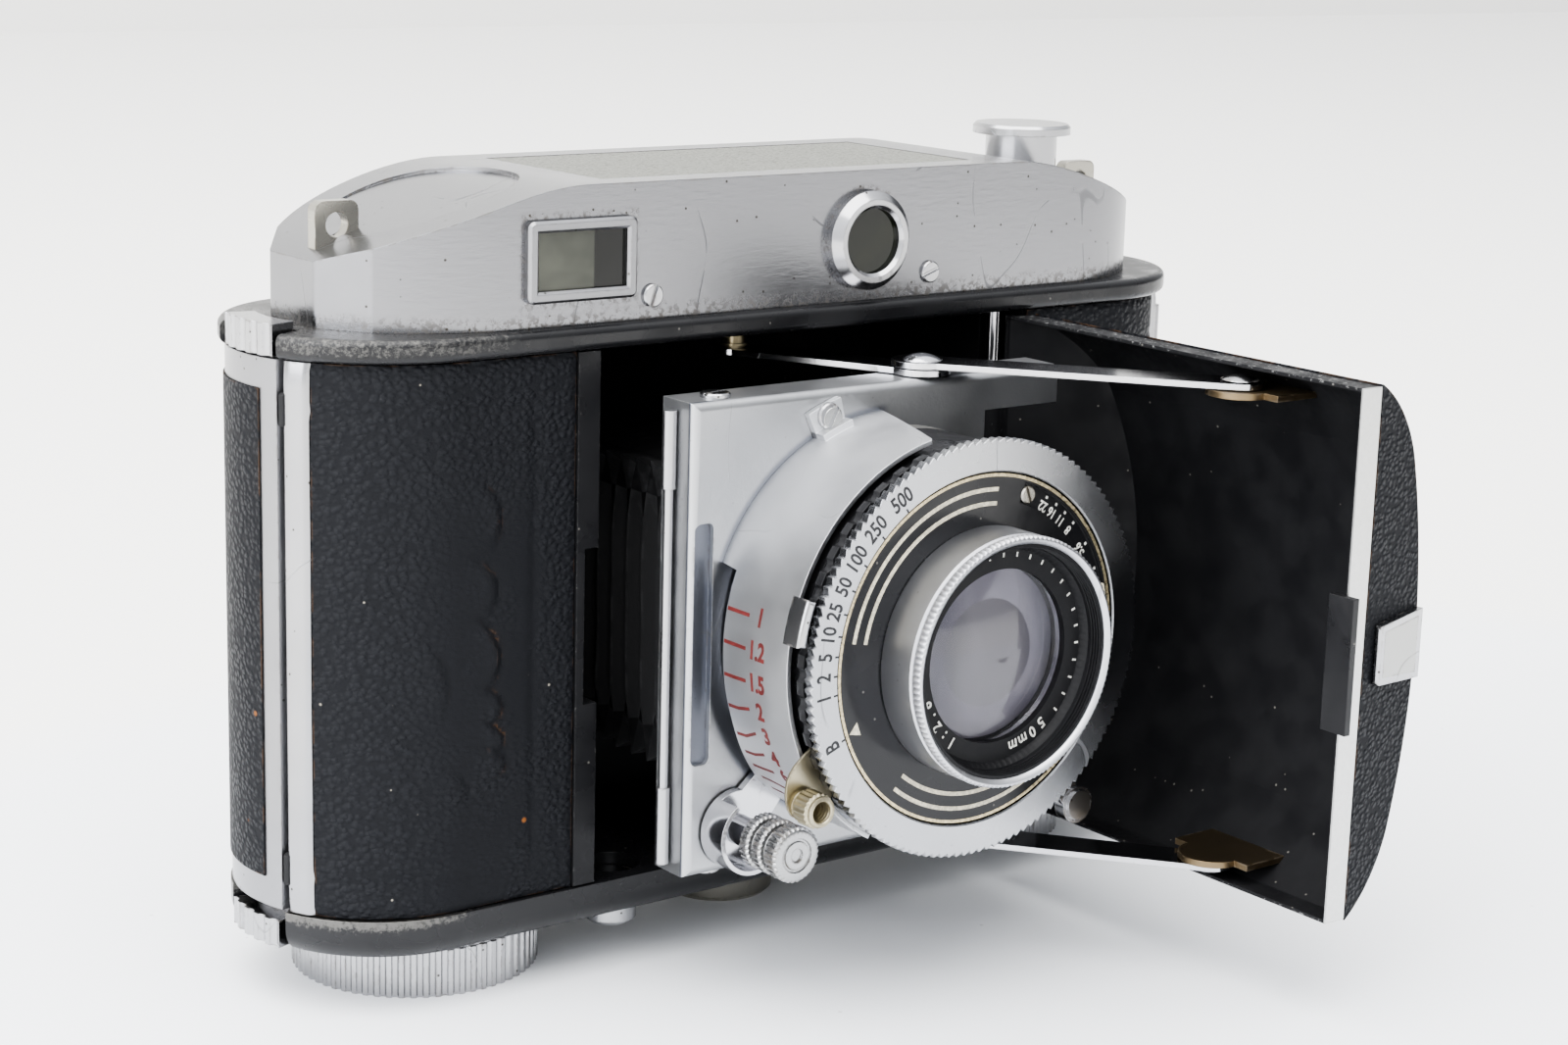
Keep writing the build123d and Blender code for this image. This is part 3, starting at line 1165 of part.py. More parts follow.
with BuildPart() as knurled_collar:
    with BuildSketch(lens_plane(COLLAR_BACK)):
        Circle(21.9)
        with PolarLocations(22.4, 48):
            Circle(0.9, mode=Mode.SUBTRACT)
        Circle(12.0, mode=Mode.SUBTRACT)
    extrude(amount=COLLAR_BACK - SPEED_RING_BACK - 0.3)
knurled_collar.part.label = "knurled_collar"
export_step(knurled_collar.part, "parts/knurled_collar.step")

with BuildPart() as speed_ring:
    with BuildSketch(lens_plane(SPEED_RING_BACK)):
        Circle(SPEED_RING_R)
        Circle(FACE_R + 0.15, mode=Mode.SUBTRACT)
    extrude(amount=SPEED_RING_BACK - SPEED_RING_FRONT)
    chamfer(speed_ring.faces().sort_by(Axis.Y)[0].edges().sort_by(SortBy.RADIUS)[-1], 0.35)
speed_ring.part.label = "speed_ring"
export_step(speed_ring.part, "parts/speed_ring.step")

# face plate with the window of the aperture scale at the upper right
FACE_FRONT = -45.0
with BuildPart() as shutter_face:
    with BuildSketch(lens_plane(SPEED_RING_BACK + 0.3)):
        Circle(FACE_R)
        Circle(12.0, mode=Mode.SUBTRACT)
    extrude(amount=SPEED_RING_BACK + 0.3 - FACE_FRONT)
    with BuildSketch(lens_plane(FACE_FRONT + 0.35)):
        ring_sector(15.9, 18.1, 8, 72)
    extrude(amount=1, mode=Mode.SUBTRACT)
shutter_face.part.label = "shutter_face"
export_step(shutter_face.part, "parts/shutter_face.step")

with BuildPart() as aperture_pointer:
    with BuildSketch(lens_plane(FACE_FRONT + 0.25)):
        ring_sector(16.1, 17.9, 12, 16)
    extrude(amount=0.6)
aperture_pointer.part.label = "aperture_pointer"
export_step(aperture_pointer.part, "parts/aperture_pointer.step")

with BuildPart() as shutter_blades:
    with BuildSketch(lens_plane(-36.0)):
        Circle(11.9)
        Circle(6.5, mode=Mode.SUBTRACT)
    extrude(amount=0.3)
shutter_blades.part.label = "shutter_blades"
export_step(shutter_blades.part, "parts/shutter_blades.step")

LEVER_BACK = SHUTTER_FRONT - 0.1
LEVER_SHEET = 0.3
LEVER_ROOT_R = 18.9         # the levers and the socket's arm start under the collar
COCK_ANGLE = 166.0
COCK_R = 23.7
with BuildPart() as cocking_lever:
    with BuildSketch(lens_plane(LEVER_BACK)):
        ring_sector(LEVER_ROOT_R, COCK_R, COCK_ANGLE - 5, COCK_ANGLE + 5)
    extrude(amount=LEVER_SHEET)
    # upright tab, rounded at its corners
    with BuildSketch(lens_plane(LEVER_BACK)):
        ring_sector(COCK_R - 1.1, COCK_R, COCK_ANGLE - 6, COCK_ANGLE + 6)
    extrude(amount=2.6)
    tab_front = cocking_lever.faces().sort_by(Axis.Y)[0]
    fillet(tab_front.edges(), 0.4)
cocking_lever.part.label = "cocking_lever"
export_step(cocking_lever.part, "parts/cocking_lever.step")

RELEASE_ANGLE = -52.0
THUMB_ANGLE = RELEASE_ANGLE + 2.5
THUMB_LENS_R = 27.4
THUMB_R = 2.1
with BuildPart() as release_lever:
    with BuildSketch(lens_plane(LEVER_BACK)):
        ring_sector(LEVER_ROOT_R, 23.8, RELEASE_ANGLE - 3, RELEASE_ANGLE + 6)
        ring_sector(23.0, THUMB_LENS_R, THUMB_ANGLE - 3, THUMB_ANGLE + 3)
        with Locations(around_lens(THUMB_LENS_R, THUMB_ANGLE)):
            Circle(THUMB_R)
    extrude(amount=LEVER_SHEET)
    # round thumb piece with a raised middle
    for pad_radius, pad_front in ((THUMB_R, 0.5), (THUMB_R - 0.4, 0.8)):
        with BuildSketch(lens_plane(LEVER_BACK + 1.0)):
            with Locations(around_lens(THUMB_LENS_R, THUMB_ANGLE)):
                Circle(pad_radius)
        extrude(amount=1.0 + pad_front)
release_lever.part.label = "release_lever"
export_step(release_lever.part, "parts/release_lever.step")

SOCKET_ANGLE = 214.5
SOCKET_R = 24.8
SOCKET_BODY_R = 1.9
HORN = (                    # outline of the socket's horn-shaped arm: radius and angle round the lens
    (19.2, 202.0), (22.8, 203.5), (24.6, 205.2), (25.6, 207.5), (26.4, 211.0),
    (26.6, 214.5), (25.5, 218.2), (23.4, 219.5), (19.2, 219.0),
)
with BuildPart() as cable_socket:
    with BuildSketch(lens_plane(COLLAR_BACK + 0.35)):
        with BuildLine():
            Polyline(*[around_lens(radius, angle) for radius, angle in HORN], close=True)
        make_face()
    extrude(amount=LEVER_SHEET)
    with BuildSketch(lens_plane(COLLAR_BACK + 0.35)):
        with Locations(around_lens(SOCKET_R, SOCKET_ANGLE)):
            Circle(SOCKET_BODY_R)
    extrude(amount=3.4)
    with BuildSketch(lens_plane(COLLAR_BACK - 3.05)):
        with Locations(around_lens(SOCKET_R, SOCKET_ANGLE)):
            Circle(1.1)
    extrude(amount=-2.6, mode=Mode.SUBTRACT)
cable_socket.part.label = "cable_socket"
export_step(cable_socket.part, "parts/cable_socket.step")

# ---------------------------------------------------------------- lens
with BuildPart() as lens_barrel:
    with BuildSketch(lens_plane(FACE_FRONT)):
        Circle(BARREL_R)
        Circle(BARREL_R - 0.9, mode=Mode.SUBTRACT)
    extrude(amount=FACE_FRONT - BARREL_FRONT)
    chamfer(lens_barrel.faces().sort_by(Axis.Y)[0].edges().sort_by(SortBy.RADIUS)[-1], 0.3)
lens_barrel.part.label = "lens_barrel"
export_step(lens_barrel.part, "parts/lens_barrel.step")

# black cone inside the rim, with the flat ring that holds the front glass
with BuildPart() as name_ring:
    with BuildSketch(Plane.XY.offset(LENS_Z)):
        with BuildLine():
            Polyline(
                (BARREL_R - 0.9, -50.7), (BARREL_R - 1.4, -50.7), (11.4, -48.6), (FRONT_GLASS_R, -48.1),
                (FRONT_GLASS_R, -46.2), (BARREL_R - 0.9, -46.2), close=True,
            )
        make_face()
    revolve(axis=Axis((0, 0, LENS_Z), (0, 1, 0)))
name_ring.part.label = "name_ring"
export_step(name_ring.part, "parts/name_ring.step")


def lens_disc(radius, front_y, back_y, front_bow, back_bow):
    """A round lens whose two faces bow outwards."""
    with BuildPart() as glass:
        with BuildSketch(Plane.XY.offset(LENS_Z)):
            with BuildLine():
                front_mid = front_y - cap_height(radius, front_bow, radius / 2)
                back_mid = back_y + cap_height(radius, back_bow, radius / 2)
                ThreePointArc((0, front_y - front_bow), (radius / 2, front_mid), (radius, front_y))
                Line((radius, front_y), (radius, back_y))
                ThreePointArc((radius, back_y), (radius / 2, back_mid), (0, back_y + back_bow))
                Line((0, back_y + back_bow), (0, front_y - front_bow))
            make_face()
        revolve(axis=Axis((0, 0, LENS_Z), (0, 1, 0)))
    return glass.part


with BuildPart() as front_lens:
    add(lens_disc(FRONT_GLASS_R, -47.4, -45.2, 1.5, 0.3))
front_lens.part.label = "front_lens"
export_step(front_lens.part, "parts/front_lens.step")

with BuildPart() as rear_lens:
    add(lens_disc(7.0, -30.0, -28.0, 0.4, 1.2))
rear_lens.part.label = "rear_lens"
export_step(rear_lens.part, "parts/rear_lens.step")

with BuildPart() as rear_cell:
    with BuildSketch(lens_plane(-27.0)):
        Circle(12.0)
        Circle(7.0, mode=Mode.SUBTRACT)
    extrude(amount=4.5)
rear_cell.part.label = "rear_cell"
export_step(rear_cell.part, "parts/rear_cell.step")
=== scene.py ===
import math

import bmesh
import bpy
from mathutils import Matrix, Vector, noise


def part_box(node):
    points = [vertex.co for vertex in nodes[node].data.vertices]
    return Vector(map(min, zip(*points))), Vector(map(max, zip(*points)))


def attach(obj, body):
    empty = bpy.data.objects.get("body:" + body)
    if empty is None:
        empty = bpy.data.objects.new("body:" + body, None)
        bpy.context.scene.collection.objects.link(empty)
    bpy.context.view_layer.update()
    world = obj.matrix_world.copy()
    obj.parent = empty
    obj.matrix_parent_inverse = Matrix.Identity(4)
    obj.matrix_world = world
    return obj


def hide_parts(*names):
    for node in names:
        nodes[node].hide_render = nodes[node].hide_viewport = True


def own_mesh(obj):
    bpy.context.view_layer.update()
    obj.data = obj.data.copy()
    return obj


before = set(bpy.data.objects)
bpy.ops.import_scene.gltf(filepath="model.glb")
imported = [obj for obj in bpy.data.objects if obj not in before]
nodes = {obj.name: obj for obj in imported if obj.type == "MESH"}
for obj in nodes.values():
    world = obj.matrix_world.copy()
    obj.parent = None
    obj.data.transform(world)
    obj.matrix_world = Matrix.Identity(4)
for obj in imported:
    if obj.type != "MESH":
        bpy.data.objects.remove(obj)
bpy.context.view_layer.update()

# The looks of a 35 mm folding camera.  Metres, in the frame of the CAD model:
# +X along the body, -Y towards the subject, +Z up, floor at z = 0.

MM = 0.001


def middle(node):
    """Centre of a CAD node's box."""
    low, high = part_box(node)
    return (low + high) / 2


LENS = middle("speed_ring")         # only its x and z are used
RING_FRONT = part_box("speed_ring")[0].y
FACE_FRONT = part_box("shutter_face")[0].y
FACE_RADIUS = (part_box("shutter_face")[1].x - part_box("shutter_face")[0].x) / 2
RING_RADIUS = (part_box("speed_ring")[1].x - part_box("speed_ring")[0].x) / 2


# ---------------------------------------------------------------- materials
class Paint:
    """One procedural material: a Principled shader and short names for the nodes that feed it."""

    def __init__(self, name, **start):
        self.material = bpy.data.materials.new(name)
        self.material.use_nodes = True
        self.tree = self.material.node_tree
        self.shader = self.tree.nodes["Principled BSDF"]
        self.place = self.node("ShaderNodeTexCoord").outputs["Object"]
        for socket, value in start.items():
            self.set(socket.replace("_", " "), value)

    def node(self, kind, **settings):
        made = self.tree.nodes.new(kind)
        for key, value in settings.items():
            setattr(made, key, value)
        return made

    def put(self, socket, value):
        """Feeds a socket from another node's output, or sets it to a plain value."""
        if isinstance(value, bpy.types.NodeSocket):
            self.tree.links.new(value, socket)
        elif isinstance(value, (tuple, list)) and len(value) == 3 and socket.type == "RGBA":
            socket.default_value = (*value, 1.0)
        else:
            socket.default_value = value

    def set(self, socket, value):
        self.put(self.shader.inputs[socket], value)

    def scaled(self, stretch):
        mapping = self.node("ShaderNodeMapping")
        self.put(mapping.inputs["Vector"], self.place)
        self.put(mapping.inputs["Scale"], stretch)
        return mapping.outputs["Vector"]

    def noise(self, size, detail=2.0, roughness=0.5, stretch=(1, 1, 1), distortion=0.0):
        """Noise from 0 to 1 whose blobs are about `size` metres across, longer where stretch is small."""
        made = self.node("ShaderNodeTexNoise")
        self.put(made.inputs["Vector"], self.scaled(stretch))
        self.put(made.inputs["Scale"], 1.0 / size)
        self.put(made.inputs["Detail"], detail)
        self.put(made.inputs["Roughness"], roughness)
        self.put(made.inputs["Distortion"], distortion)
        return made.outputs["Fac"]

    def cells(self, size, feature="F1", stretch=(1, 1, 1), output="Distance"):
        made = self.node("ShaderNodeTexVoronoi", feature=feature)
        self.put(made.inputs["Vector"], self.scaled(stretch))
        self.put(made.inputs["Scale"], 1.0 / size)
        return made.outputs[output]

    def axis(self, letter):
        made = self.node("ShaderNodeSeparateXYZ")
        self.put(made.inputs["Vector"], self.place)
        return made.outputs[letter]

    def off_axis(self, centre):
        """Distance from the line through `centre` that runs front to back."""
        from_x = self.math("SUBTRACT", self.axis("X"), centre.x)
        from_z = self.math("SUBTRACT", self.axis("Z"), centre.z)
        squares = self.math("ADD", self.times(from_x, from_x), self.times(from_z, from_z))
        return self.math("SQRT", squares)

    def math(self, operation, a, b=0.0):
        made = self.node("ShaderNodeMath", operation=operation)
        self.put(made.inputs[0], a)
        self.put(made.inputs[1], b)
        return made.outputs["Value"]

    def times(self, first, *others):
        for other in others:
            first = self.math("MULTIPLY", first, other)
        return first

    def largest(self, first, *others):
        for other in others:
            first = self.math("MAXIMUM", first, other)
        return first

    def ease(self, value, low, high, start=0.0, end=1.0):
        """Start below low, end above high, and a smooth step between."""
        made = self.node("ShaderNodeMapRange", interpolation_type="SMOOTHSTEP")
        self.put(made.inputs["Value"], value)
        self.put(made.inputs["From Min"], low)
        self.put(made.inputs["From Max"], high)
        self.put(made.inputs["To Min"], start)
        self.put(made.inputs["To Max"], end)
        return made.outputs["Result"]

    def along(self, letter, low, high):
        """Smooth step between two places on an axis."""
        return self.ease(self.axis(letter), low, high)

    def mix(self, share, a, b):
        made = self.node("ShaderNodeMix", data_type="RGBA")
        self.put(made.inputs[0], share)
        self.put(made.inputs[6], a)
        self.put(made.inputs[7], b)
        return made.outputs[2]

    def blend(self, share, a, b):
        made = self.node("ShaderNodeMix", data_type="FLOAT")
        self.put(made.inputs[0], share)
        self.put(made.inputs[2], a)
        self.put(made.inputs[3], b)
        return made.outputs[0]

    def soft_edges(self, radius):
        """A normal that rounds every sharp edge by this radius."""
        made = self.node("ShaderNodeBevel", samples=4)
        self.put(made.inputs["Radius"], radius)
        return made.outputs["Normal"]

    def edges(self, radius):
        """1 on and beside sharp edges, 0 on flat faces."""
        dot = self.node("ShaderNodeVectorMath", operation="DOT_PRODUCT")
        self.put(dot.inputs[0], self.soft_edges(radius))
        self.put(dot.inputs[1], self.node("ShaderNodeNewGeometry").outputs["True Normal"])
        agree_flat, agree_sharp = 0.99, 0.80
        return self.ease(dot.outputs["Value"], agree_flat, agree_sharp)

    def bump(self, height, depth, strength=1.0, normal=None):
        made = self.node("ShaderNodeBump")
        self.put(made.inputs["Height"], height)
        self.put(made.inputs["Distance"], depth)
        self.put(made.inputs["Strength"], strength)
        if normal is not None:
            self.put(made.inputs["Normal"], normal)
        return made.outputs["Normal"]

    def hairlines(self, size, stretch, width=0.004):
        """Thin meandering scratches: the contour lines of a noise, broken up by another."""
        ridge = self.math("ABSOLUTE", self.math("SUBTRACT", self.noise(size, 1.0, stretch=stretch), 0.5))
        line = self.ease(ridge, width, width * 0.3)
        unbroken = self.ease(self.noise(size * 0.6, 2.0), 0.52, 0.60)
        return self.times(line, unbroken)

    def turned(self, amount):
        """Grain that runs round the lens axis, as a lathe leaves it."""
        arm = self.node("ShaderNodeVectorMath", operation="SUBTRACT")
        self.put(arm.inputs[0], self.place)
        self.put(arm.inputs[1], tuple(LENS))
        cross = self.node("ShaderNodeVectorMath", operation="CROSS_PRODUCT")
        self.put(cross.inputs[0], arm.outputs["Vector"])
        self.put(cross.inputs[1], (0.0, 1.0, 0.0))
        self.set("Tangent", cross.outputs["Vector"])
        self.set("Anisotropic", amount)

    def dots(self, size, share):
        """Small round specks in some of the cells; share is how much of its cell each one fills."""
        empty_cells = 0.7
        near = self.ease(self.cells(size), share, share * 0.6)
        chosen = self.node("ShaderNodeSeparateColor")
        self.put(chosen.inputs["Color"], self.cells(size, output="Color"))
        return self.times(near, self.math("GREATER_THAN", chosen.outputs["Red"], empty_cells))


def shaded(tone, share):
    """A tone made darker, or lighter up to white."""
    return tuple(min(1.0, channel * share) for channel in tone)


GRIME_TONE = (0.10, 0.082, 0.06)
PIT_TONE = (0.07, 0.065, 0.06)
DUST_TONE = (0.20, 0.19, 0.17)
LEATHER_DUST = (0.26, 0.24, 0.20)
RUST_TONE = (0.17, 0.065, 0.02)
WORN_HIDE = (0.10, 0.055, 0.028)
ENAMEL_TONES = ((0.006, 0.006, 0.007), (0.014, 0.014, 0.015))


def bare_metal(name, tone, roughness, grain=0.0, grime=0.35, brushed=(1, 1, 1), pits=0.25, turned=0.0,
               stains=None, darker=None):
    """Plated or bare metal with uneven polish, scratches, pits, and brown grime beside its edges."""
    paint = Paint(name)
    cloud = paint.noise(9 * MM, 3.0, 0.6)
    streaks = paint.noise(0.5 * MM, 2.0, 0.6, stretch=brushed)
    scratch = paint.hairlines(14 * MM, (1.0, 1.3, 0.5))
    pit = paint.times(paint.dots(1.3 * MM, 0.13), pits * 2)
    patchy = paint.ease(paint.noise(1.6 * MM, 4.0, 0.7), 0.47, 0.62)
    grimy = paint.times(paint.edges(0.45 * MM), patchy, grime)
    if stains is not None:
        grimy = paint.largest(grimy, stains(paint))
    if turned > 0:
        paint.turned(turned)
    clean = paint.mix(cloud, shaded(tone, 0.86), shaded(tone, 1.08))
    # where the given mask is 1, painted shade: the tone turns a bluish dark
    if darker is not None:
        painted_shade_tone = (tone[0] * 0.32, tone[1] * 0.34, tone[2] * 0.40)
        clean = paint.mix(darker(paint), clean, painted_shade_tone)
    clean = paint.mix(paint.times(scratch, 0.35), clean, shaded(tone, 0.45))
    clean = paint.mix(pit, clean, PIT_TONE)
    paint.set("Base Color", paint.mix(grimy, clean, GRIME_TONE))
    polish = paint.blend(cloud, roughness * 0.75, roughness * 1.3)
    polish = paint.math("ADD", polish, paint.times(scratch, 0.15))
    paint.set("Roughness", paint.math("ADD", polish, paint.times(grimy, 0.4)))
    paint.set("Metallic", paint.ease(grimy, 0.25, 0.9, 1.0, 0.3))
    height = paint.math("ADD", paint.times(streaks, 0.4 + grain), paint.times(scratch, -0.6))
    paint.set("Normal", paint.bump(height, 0.012 * MM, 0.5 + grain, paint.soft_edges(0.12 * MM)))
    return paint.material


def enamel(name, wear, sheen=0.24, bare=(0.30, 0.295, 0.28), dust=0.5, gloss=0.32):
    """Gloss black enamel, rubbed through to metal where `wear(paint)` says, and dusty."""
    paint = Paint(name)
    patch = paint.noise(0.55 * MM, 6.0, 0.85)
    rubbed = paint.ease(paint.math("ADD", patch, wear(paint)), 0.97, 1.12)
    specks = paint.times(paint.dots(1.7 * MM, 0.10), dust)
    black = paint.mix(paint.noise(7 * MM, 3.0), *ENAMEL_TONES)
    black = paint.mix(specks, black, DUST_TONE)
    metal = paint.mix(patch, bare, shaded(bare, 1.5))
    paint.set("Base Color", paint.mix(rubbed, black, metal))
    paint.set("Metallic", rubbed)
    paint.set("Specular IOR Level", gloss)
    polish = paint.ease(paint.noise(5 * MM, 3.0), 0.3, 0.7, sheen * 0.7, sheen * 1.5)
    paint.set("Roughness", paint.blend(rubbed, polish, 0.38))
    height = paint.math("SUBTRACT", paint.times(paint.noise(0.8 * MM, 2.0), 0.3), rubbed)
    paint.set("Normal", paint.bump(height, 0.02 * MM, 0.5, paint.soft_edges(0.15 * MM)))
    return paint.material


def leather(name, grain_size, smooth_patch=None, tone=(0.0105, 0.0110, 0.0130)):
    """Black pebbled leather: domed grains parted by creases, rubbed smooth where smooth_patch(paint) is 1."""
    paint = Paint(name)
    warp = paint.node("ShaderNodeVectorMath", operation="MULTIPLY_ADD")
    wobble = paint.node("ShaderNodeTexNoise")
    paint.put(wobble.inputs["Vector"], paint.place)
    paint.put(wobble.inputs["Scale"], 0.6 / grain_size)
    paint.put(warp.inputs[0], wobble.outputs["Color"])
    paint.put(warp.inputs[1], (0.7 * grain_size,) * 3)
    paint.put(warp.inputs[2], paint.scaled((1.0, 1.0, 1.35)))
    grains = paint.node("ShaderNodeTexVoronoi", feature="SMOOTH_F1")
    paint.put(grains.inputs["Vector"], warp.outputs["Vector"])
    paint.put(grains.inputs["Scale"], 1.0 / grain_size)
    paint.put(grains.inputs["Smoothness"], 0.35)
    dome = paint.ease(grains.outputs["Distance"], 0.75, 0.15)
    relief = paint.blend(paint.noise(4 * MM, 2.0), 0.45, 1.0)
    if smooth_patch is not None:
        relief = paint.times(relief, paint.math("SUBTRACT", 1.0, smooth_patch(paint)))
    fine_grain = paint.times(paint.noise(0.16 * MM, 3.0), 0.16)
    height = paint.math("ADD", paint.times(dome, relief), fine_grain)
    # grain tops painted lighter and the creases between them darker: painted highlight and painted shade
    shade = paint.mix(height, shaded(tone, 0.80), shaded(tone, 1.12))
    shade = paint.mix(paint.times(paint.dots(2.6 * MM, 0.07), 0.8), shade, LEATHER_DUST)
    rust = paint.times(paint.dots(4.1 * MM, 0.10), paint.ease(paint.noise(9 * MM, 2.0), 0.52, 0.6))
    shade = paint.mix(rust, shade, RUST_TONE)
    worn = paint.times(paint.edges(0.35 * MM), paint.ease(paint.noise(2.3 * MM, 3.0), 0.45, 0.6))
    shade = paint.mix(paint.times(worn, 0.7), shade, WORN_HIDE)
    paint.set("Base Color", shade)
    paint.set("Roughness", paint.ease(height, 0.0, 1.0, 0.62, 0.42))
    paint.set("Specular IOR Level", 0.11)
    paint.set("Normal", paint.bump(height, 0.20 * MM, 1.0))
    return paint.material


def tinted_glass(name, tone, roughness, transmission, reach, edge_tone, painted_shade_from=None):
    """Glass seen from outside: a smeared tone, and painted shade from a given x on, where the finder's shaded
    tunnel lies behind the pane.
    """
    paint = Paint(name)
    smear = paint.noise(reach * 0.8, 3.0, 0.6, distortion=0.6)
    pane = paint.mix(paint.ease(smear, 0.35, 0.68), edge_tone, tone)
    if painted_shade_from is not None:
        # painted shade: the pane turns almost black from here on, standing in for the shaded inside of the
        # finder
        wall = paint.along("X", painted_shade_from, painted_shade_from + 0.25 * MM)
        pane = paint.mix(wall, pane, shaded(tone, 0.06))
    paint.set("Base Color", pane)
    polish = paint.ease(paint.noise(reach * 0.3, 2.0), 0.3, 0.7, roughness * 0.6, roughness * 1.5)
    paint.set("Roughness", polish)
    paint.set("Transmission Weight", transmission)
    paint.set("IOR", 1.5)
    paint.set("Specular IOR Level", 0.35)
    return paint.material


def ink(name, tone, roughness=0.5, metallic=0.0):
    """Filled numerals, lines and small painted marks, a little patchy with age."""
    paint = Paint(name, Metallic=metallic)
    patch = paint.noise(0.5 * MM, 3.0, 0.7)
    paint.set("Base Color", paint.mix(paint.ease(patch, 0.42, 0.62), shaded(tone, 0.62), tone))
    paint.set("Roughness", paint.ease(patch, 0.3, 0.7, roughness * 0.75, roughness * 1.25))
    paint.set("Normal", paint.bump(patch, 0.01 * MM, 0.4))
    return paint.material


def dark_inside(name, tone, roughness):
    """Blackened inner surfaces, matt and faintly mottled."""
    paint = Paint(name)
    cloud = paint.noise(3 * MM, 4.0, 0.65)
    paint.set("Base Color", paint.mix(cloud, shaded(tone, 0.6), shaded(tone, 1.4)))
    paint.set("Specular IOR Level", 0.22)
    paint.set("Roughness", paint.ease(cloud, 0.3, 0.7, roughness * 0.85, min(1.0, roughness * 1.15)))
    paint.set("Normal", paint.bump(paint.noise(0.3 * MM, 3.0), 0.03 * MM, 0.5))
    return paint.material


# ---------------------------------------------------------------- mesh helpers
def shown(name, data):
    """A new object, linked into the scene."""
    made = bpy.data.objects.new(name, data)
    bpy.context.scene.collection.objects.link(made)
    return made


MERGE_DISTANCE = 0.0005 * MM
SLIVER_LENGTH = 0.0002 * MM


def mesh_piece(name, verts, faces, material, body, stands_for=(), slot=None, sharp=32.0):
    """A closed mesh from points and faces, with outward faces, smooth where it is round."""
    shape = bmesh.new()
    placed = [shape.verts.new(point) for point in verts]
    for face in faces:
        shape.faces.new([placed[i] for i in face])
    bmesh.ops.remove_doubles(shape, verts=shape.verts, dist=MERGE_DISTANCE)
    bmesh.ops.dissolve_degenerate(shape, dist=SLIVER_LENGTH, edges=shape.edges)
    bmesh.ops.recalc_face_normals(shape, faces=shape.faces)
    mesh = bpy.data.meshes.new(name)
    shape.to_mesh(mesh)
    shape.free()
    mesh.shade_smooth()
    mesh.set_sharp_from_angle(angle=math.radians(sharp))
    mesh.materials.append(material)
    made = shown(name, mesh)
    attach(made, body)
    if stands_for:
        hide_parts(*stands_for)
    return made


def around(radius, angle, depth, centre=None):
    """Point at a radius and an angle (degrees, from +X towards +Z) round an axis along Y."""
    centre = centre or LENS
    turn = math.radians(angle)
    return Vector((centre.x + radius * math.cos(turn), depth, centre.z + radius * math.sin(turn)))


def compass(angle):
    """Two unit vectors at an angle round the lens: outwards, and clockwise for who looks into the lens."""
    turn = math.radians(angle)
    return Vector((math.cos(turn), 0, math.sin(turn))), Vector((math.sin(turn), 0, -math.cos(turn)))


def profile_at(radius, depth, *points):
    """Profile points for lathe, given in millimetres beyond a radius and a depth, each with its tooth."""
    return [(radius + out * MM, depth + down * MM, tooth * MM) for out, down, tooth in points]


def prism(back, front):
    """Points and faces of the solid between two outlines with as many points each."""
    count = len(back)
    faces = [tuple(range(count)), tuple(range(2 * count - 1, count - 1, -1))]
    faces += [(i, (i + 1) % count, count + (i + 1) % count, count + i) for i in range(count)]
    return back + front, faces


def lathe(profile, steps, centre=None, wave=(0.0,)):
    """Points and faces of a ring turned round an axis along Y.

    profile is a closed loop of (radius, depth, tooth); wave repeats round the ring, and each point's
    radius shrinks by its tooth times the wave."""
    verts = []
    faces = []
    count = len(profile)
    for step in range(steps):
        cut = wave[step % len(wave)]
        for radius, depth, tooth in profile:
            verts.append(around(max(radius - tooth * cut, 0.0), 360.0 * step / steps, depth, centre))
    for step in range(steps):
        following = (step + 1) % steps
        for i in range(count):
            j = (i + 1) % count
            faces.append((step * count + i, step * count + j, following * count + j, following * count + i))
    return verts, faces


def sheet_solid(columns, rows, outer, inner):
    """Points and faces of a closed sheet given its outer and inner surfaces as functions of (i, j)."""
    verts = [outer(i, j) for i in range(columns) for j in range(rows)]
    verts += [inner(i, j) for i in range(columns) for j in range(rows)]
    shift = columns * rows
    faces = []
    for i in range(columns - 1):
        for j in range(rows - 1):
            a = i * rows + j
            faces.append((a, a + 1, a + rows + 1, a + rows))
            faces.append((a + shift, a + rows + shift, a + rows + 1 + shift, a + 1 + shift))
    border = [(i, 0) for i in range(columns - 1)]
    border += [(columns - 1, j) for j in range(rows - 1)]
    border += [(i, rows - 1) for i in range(columns - 1, 0, -1)]
    border += [(0, j) for j in range(rows - 1, 0, -1)]
    loop = [i * rows + j for i, j in border]
    for a, b in zip(loop, loop[1:] + loop[:1]):
        faces.append((a, b, b + shift, a + shift))
    return verts, faces


def arc_strip(inner, outer, start, end, back, front, steps=48):
    """Points and faces of a flat ring sector lying square to the lens axis."""
    def at(i, radius, depth):
        return around(radius, start + (end - start) * i / (steps - 1), depth)

    return sheet_solid(
        steps, 2,
        lambda i, j: at(i, (inner, outer)[j], front),
        lambda i, j: at(i, (inner, outer)[j], back),
    )


def joined(shapes):
    """Several (points, faces) pairs as one."""
    verts = []
    faces = []
    for more_verts, more_faces in shapes:
        start = len(verts)
        verts += more_verts
        faces += [tuple(i + start for i in face) for face in more_faces]
    return verts, faces


SIZE_OF_CAPITALS = 1.38             # the font's size for capitals one unit high


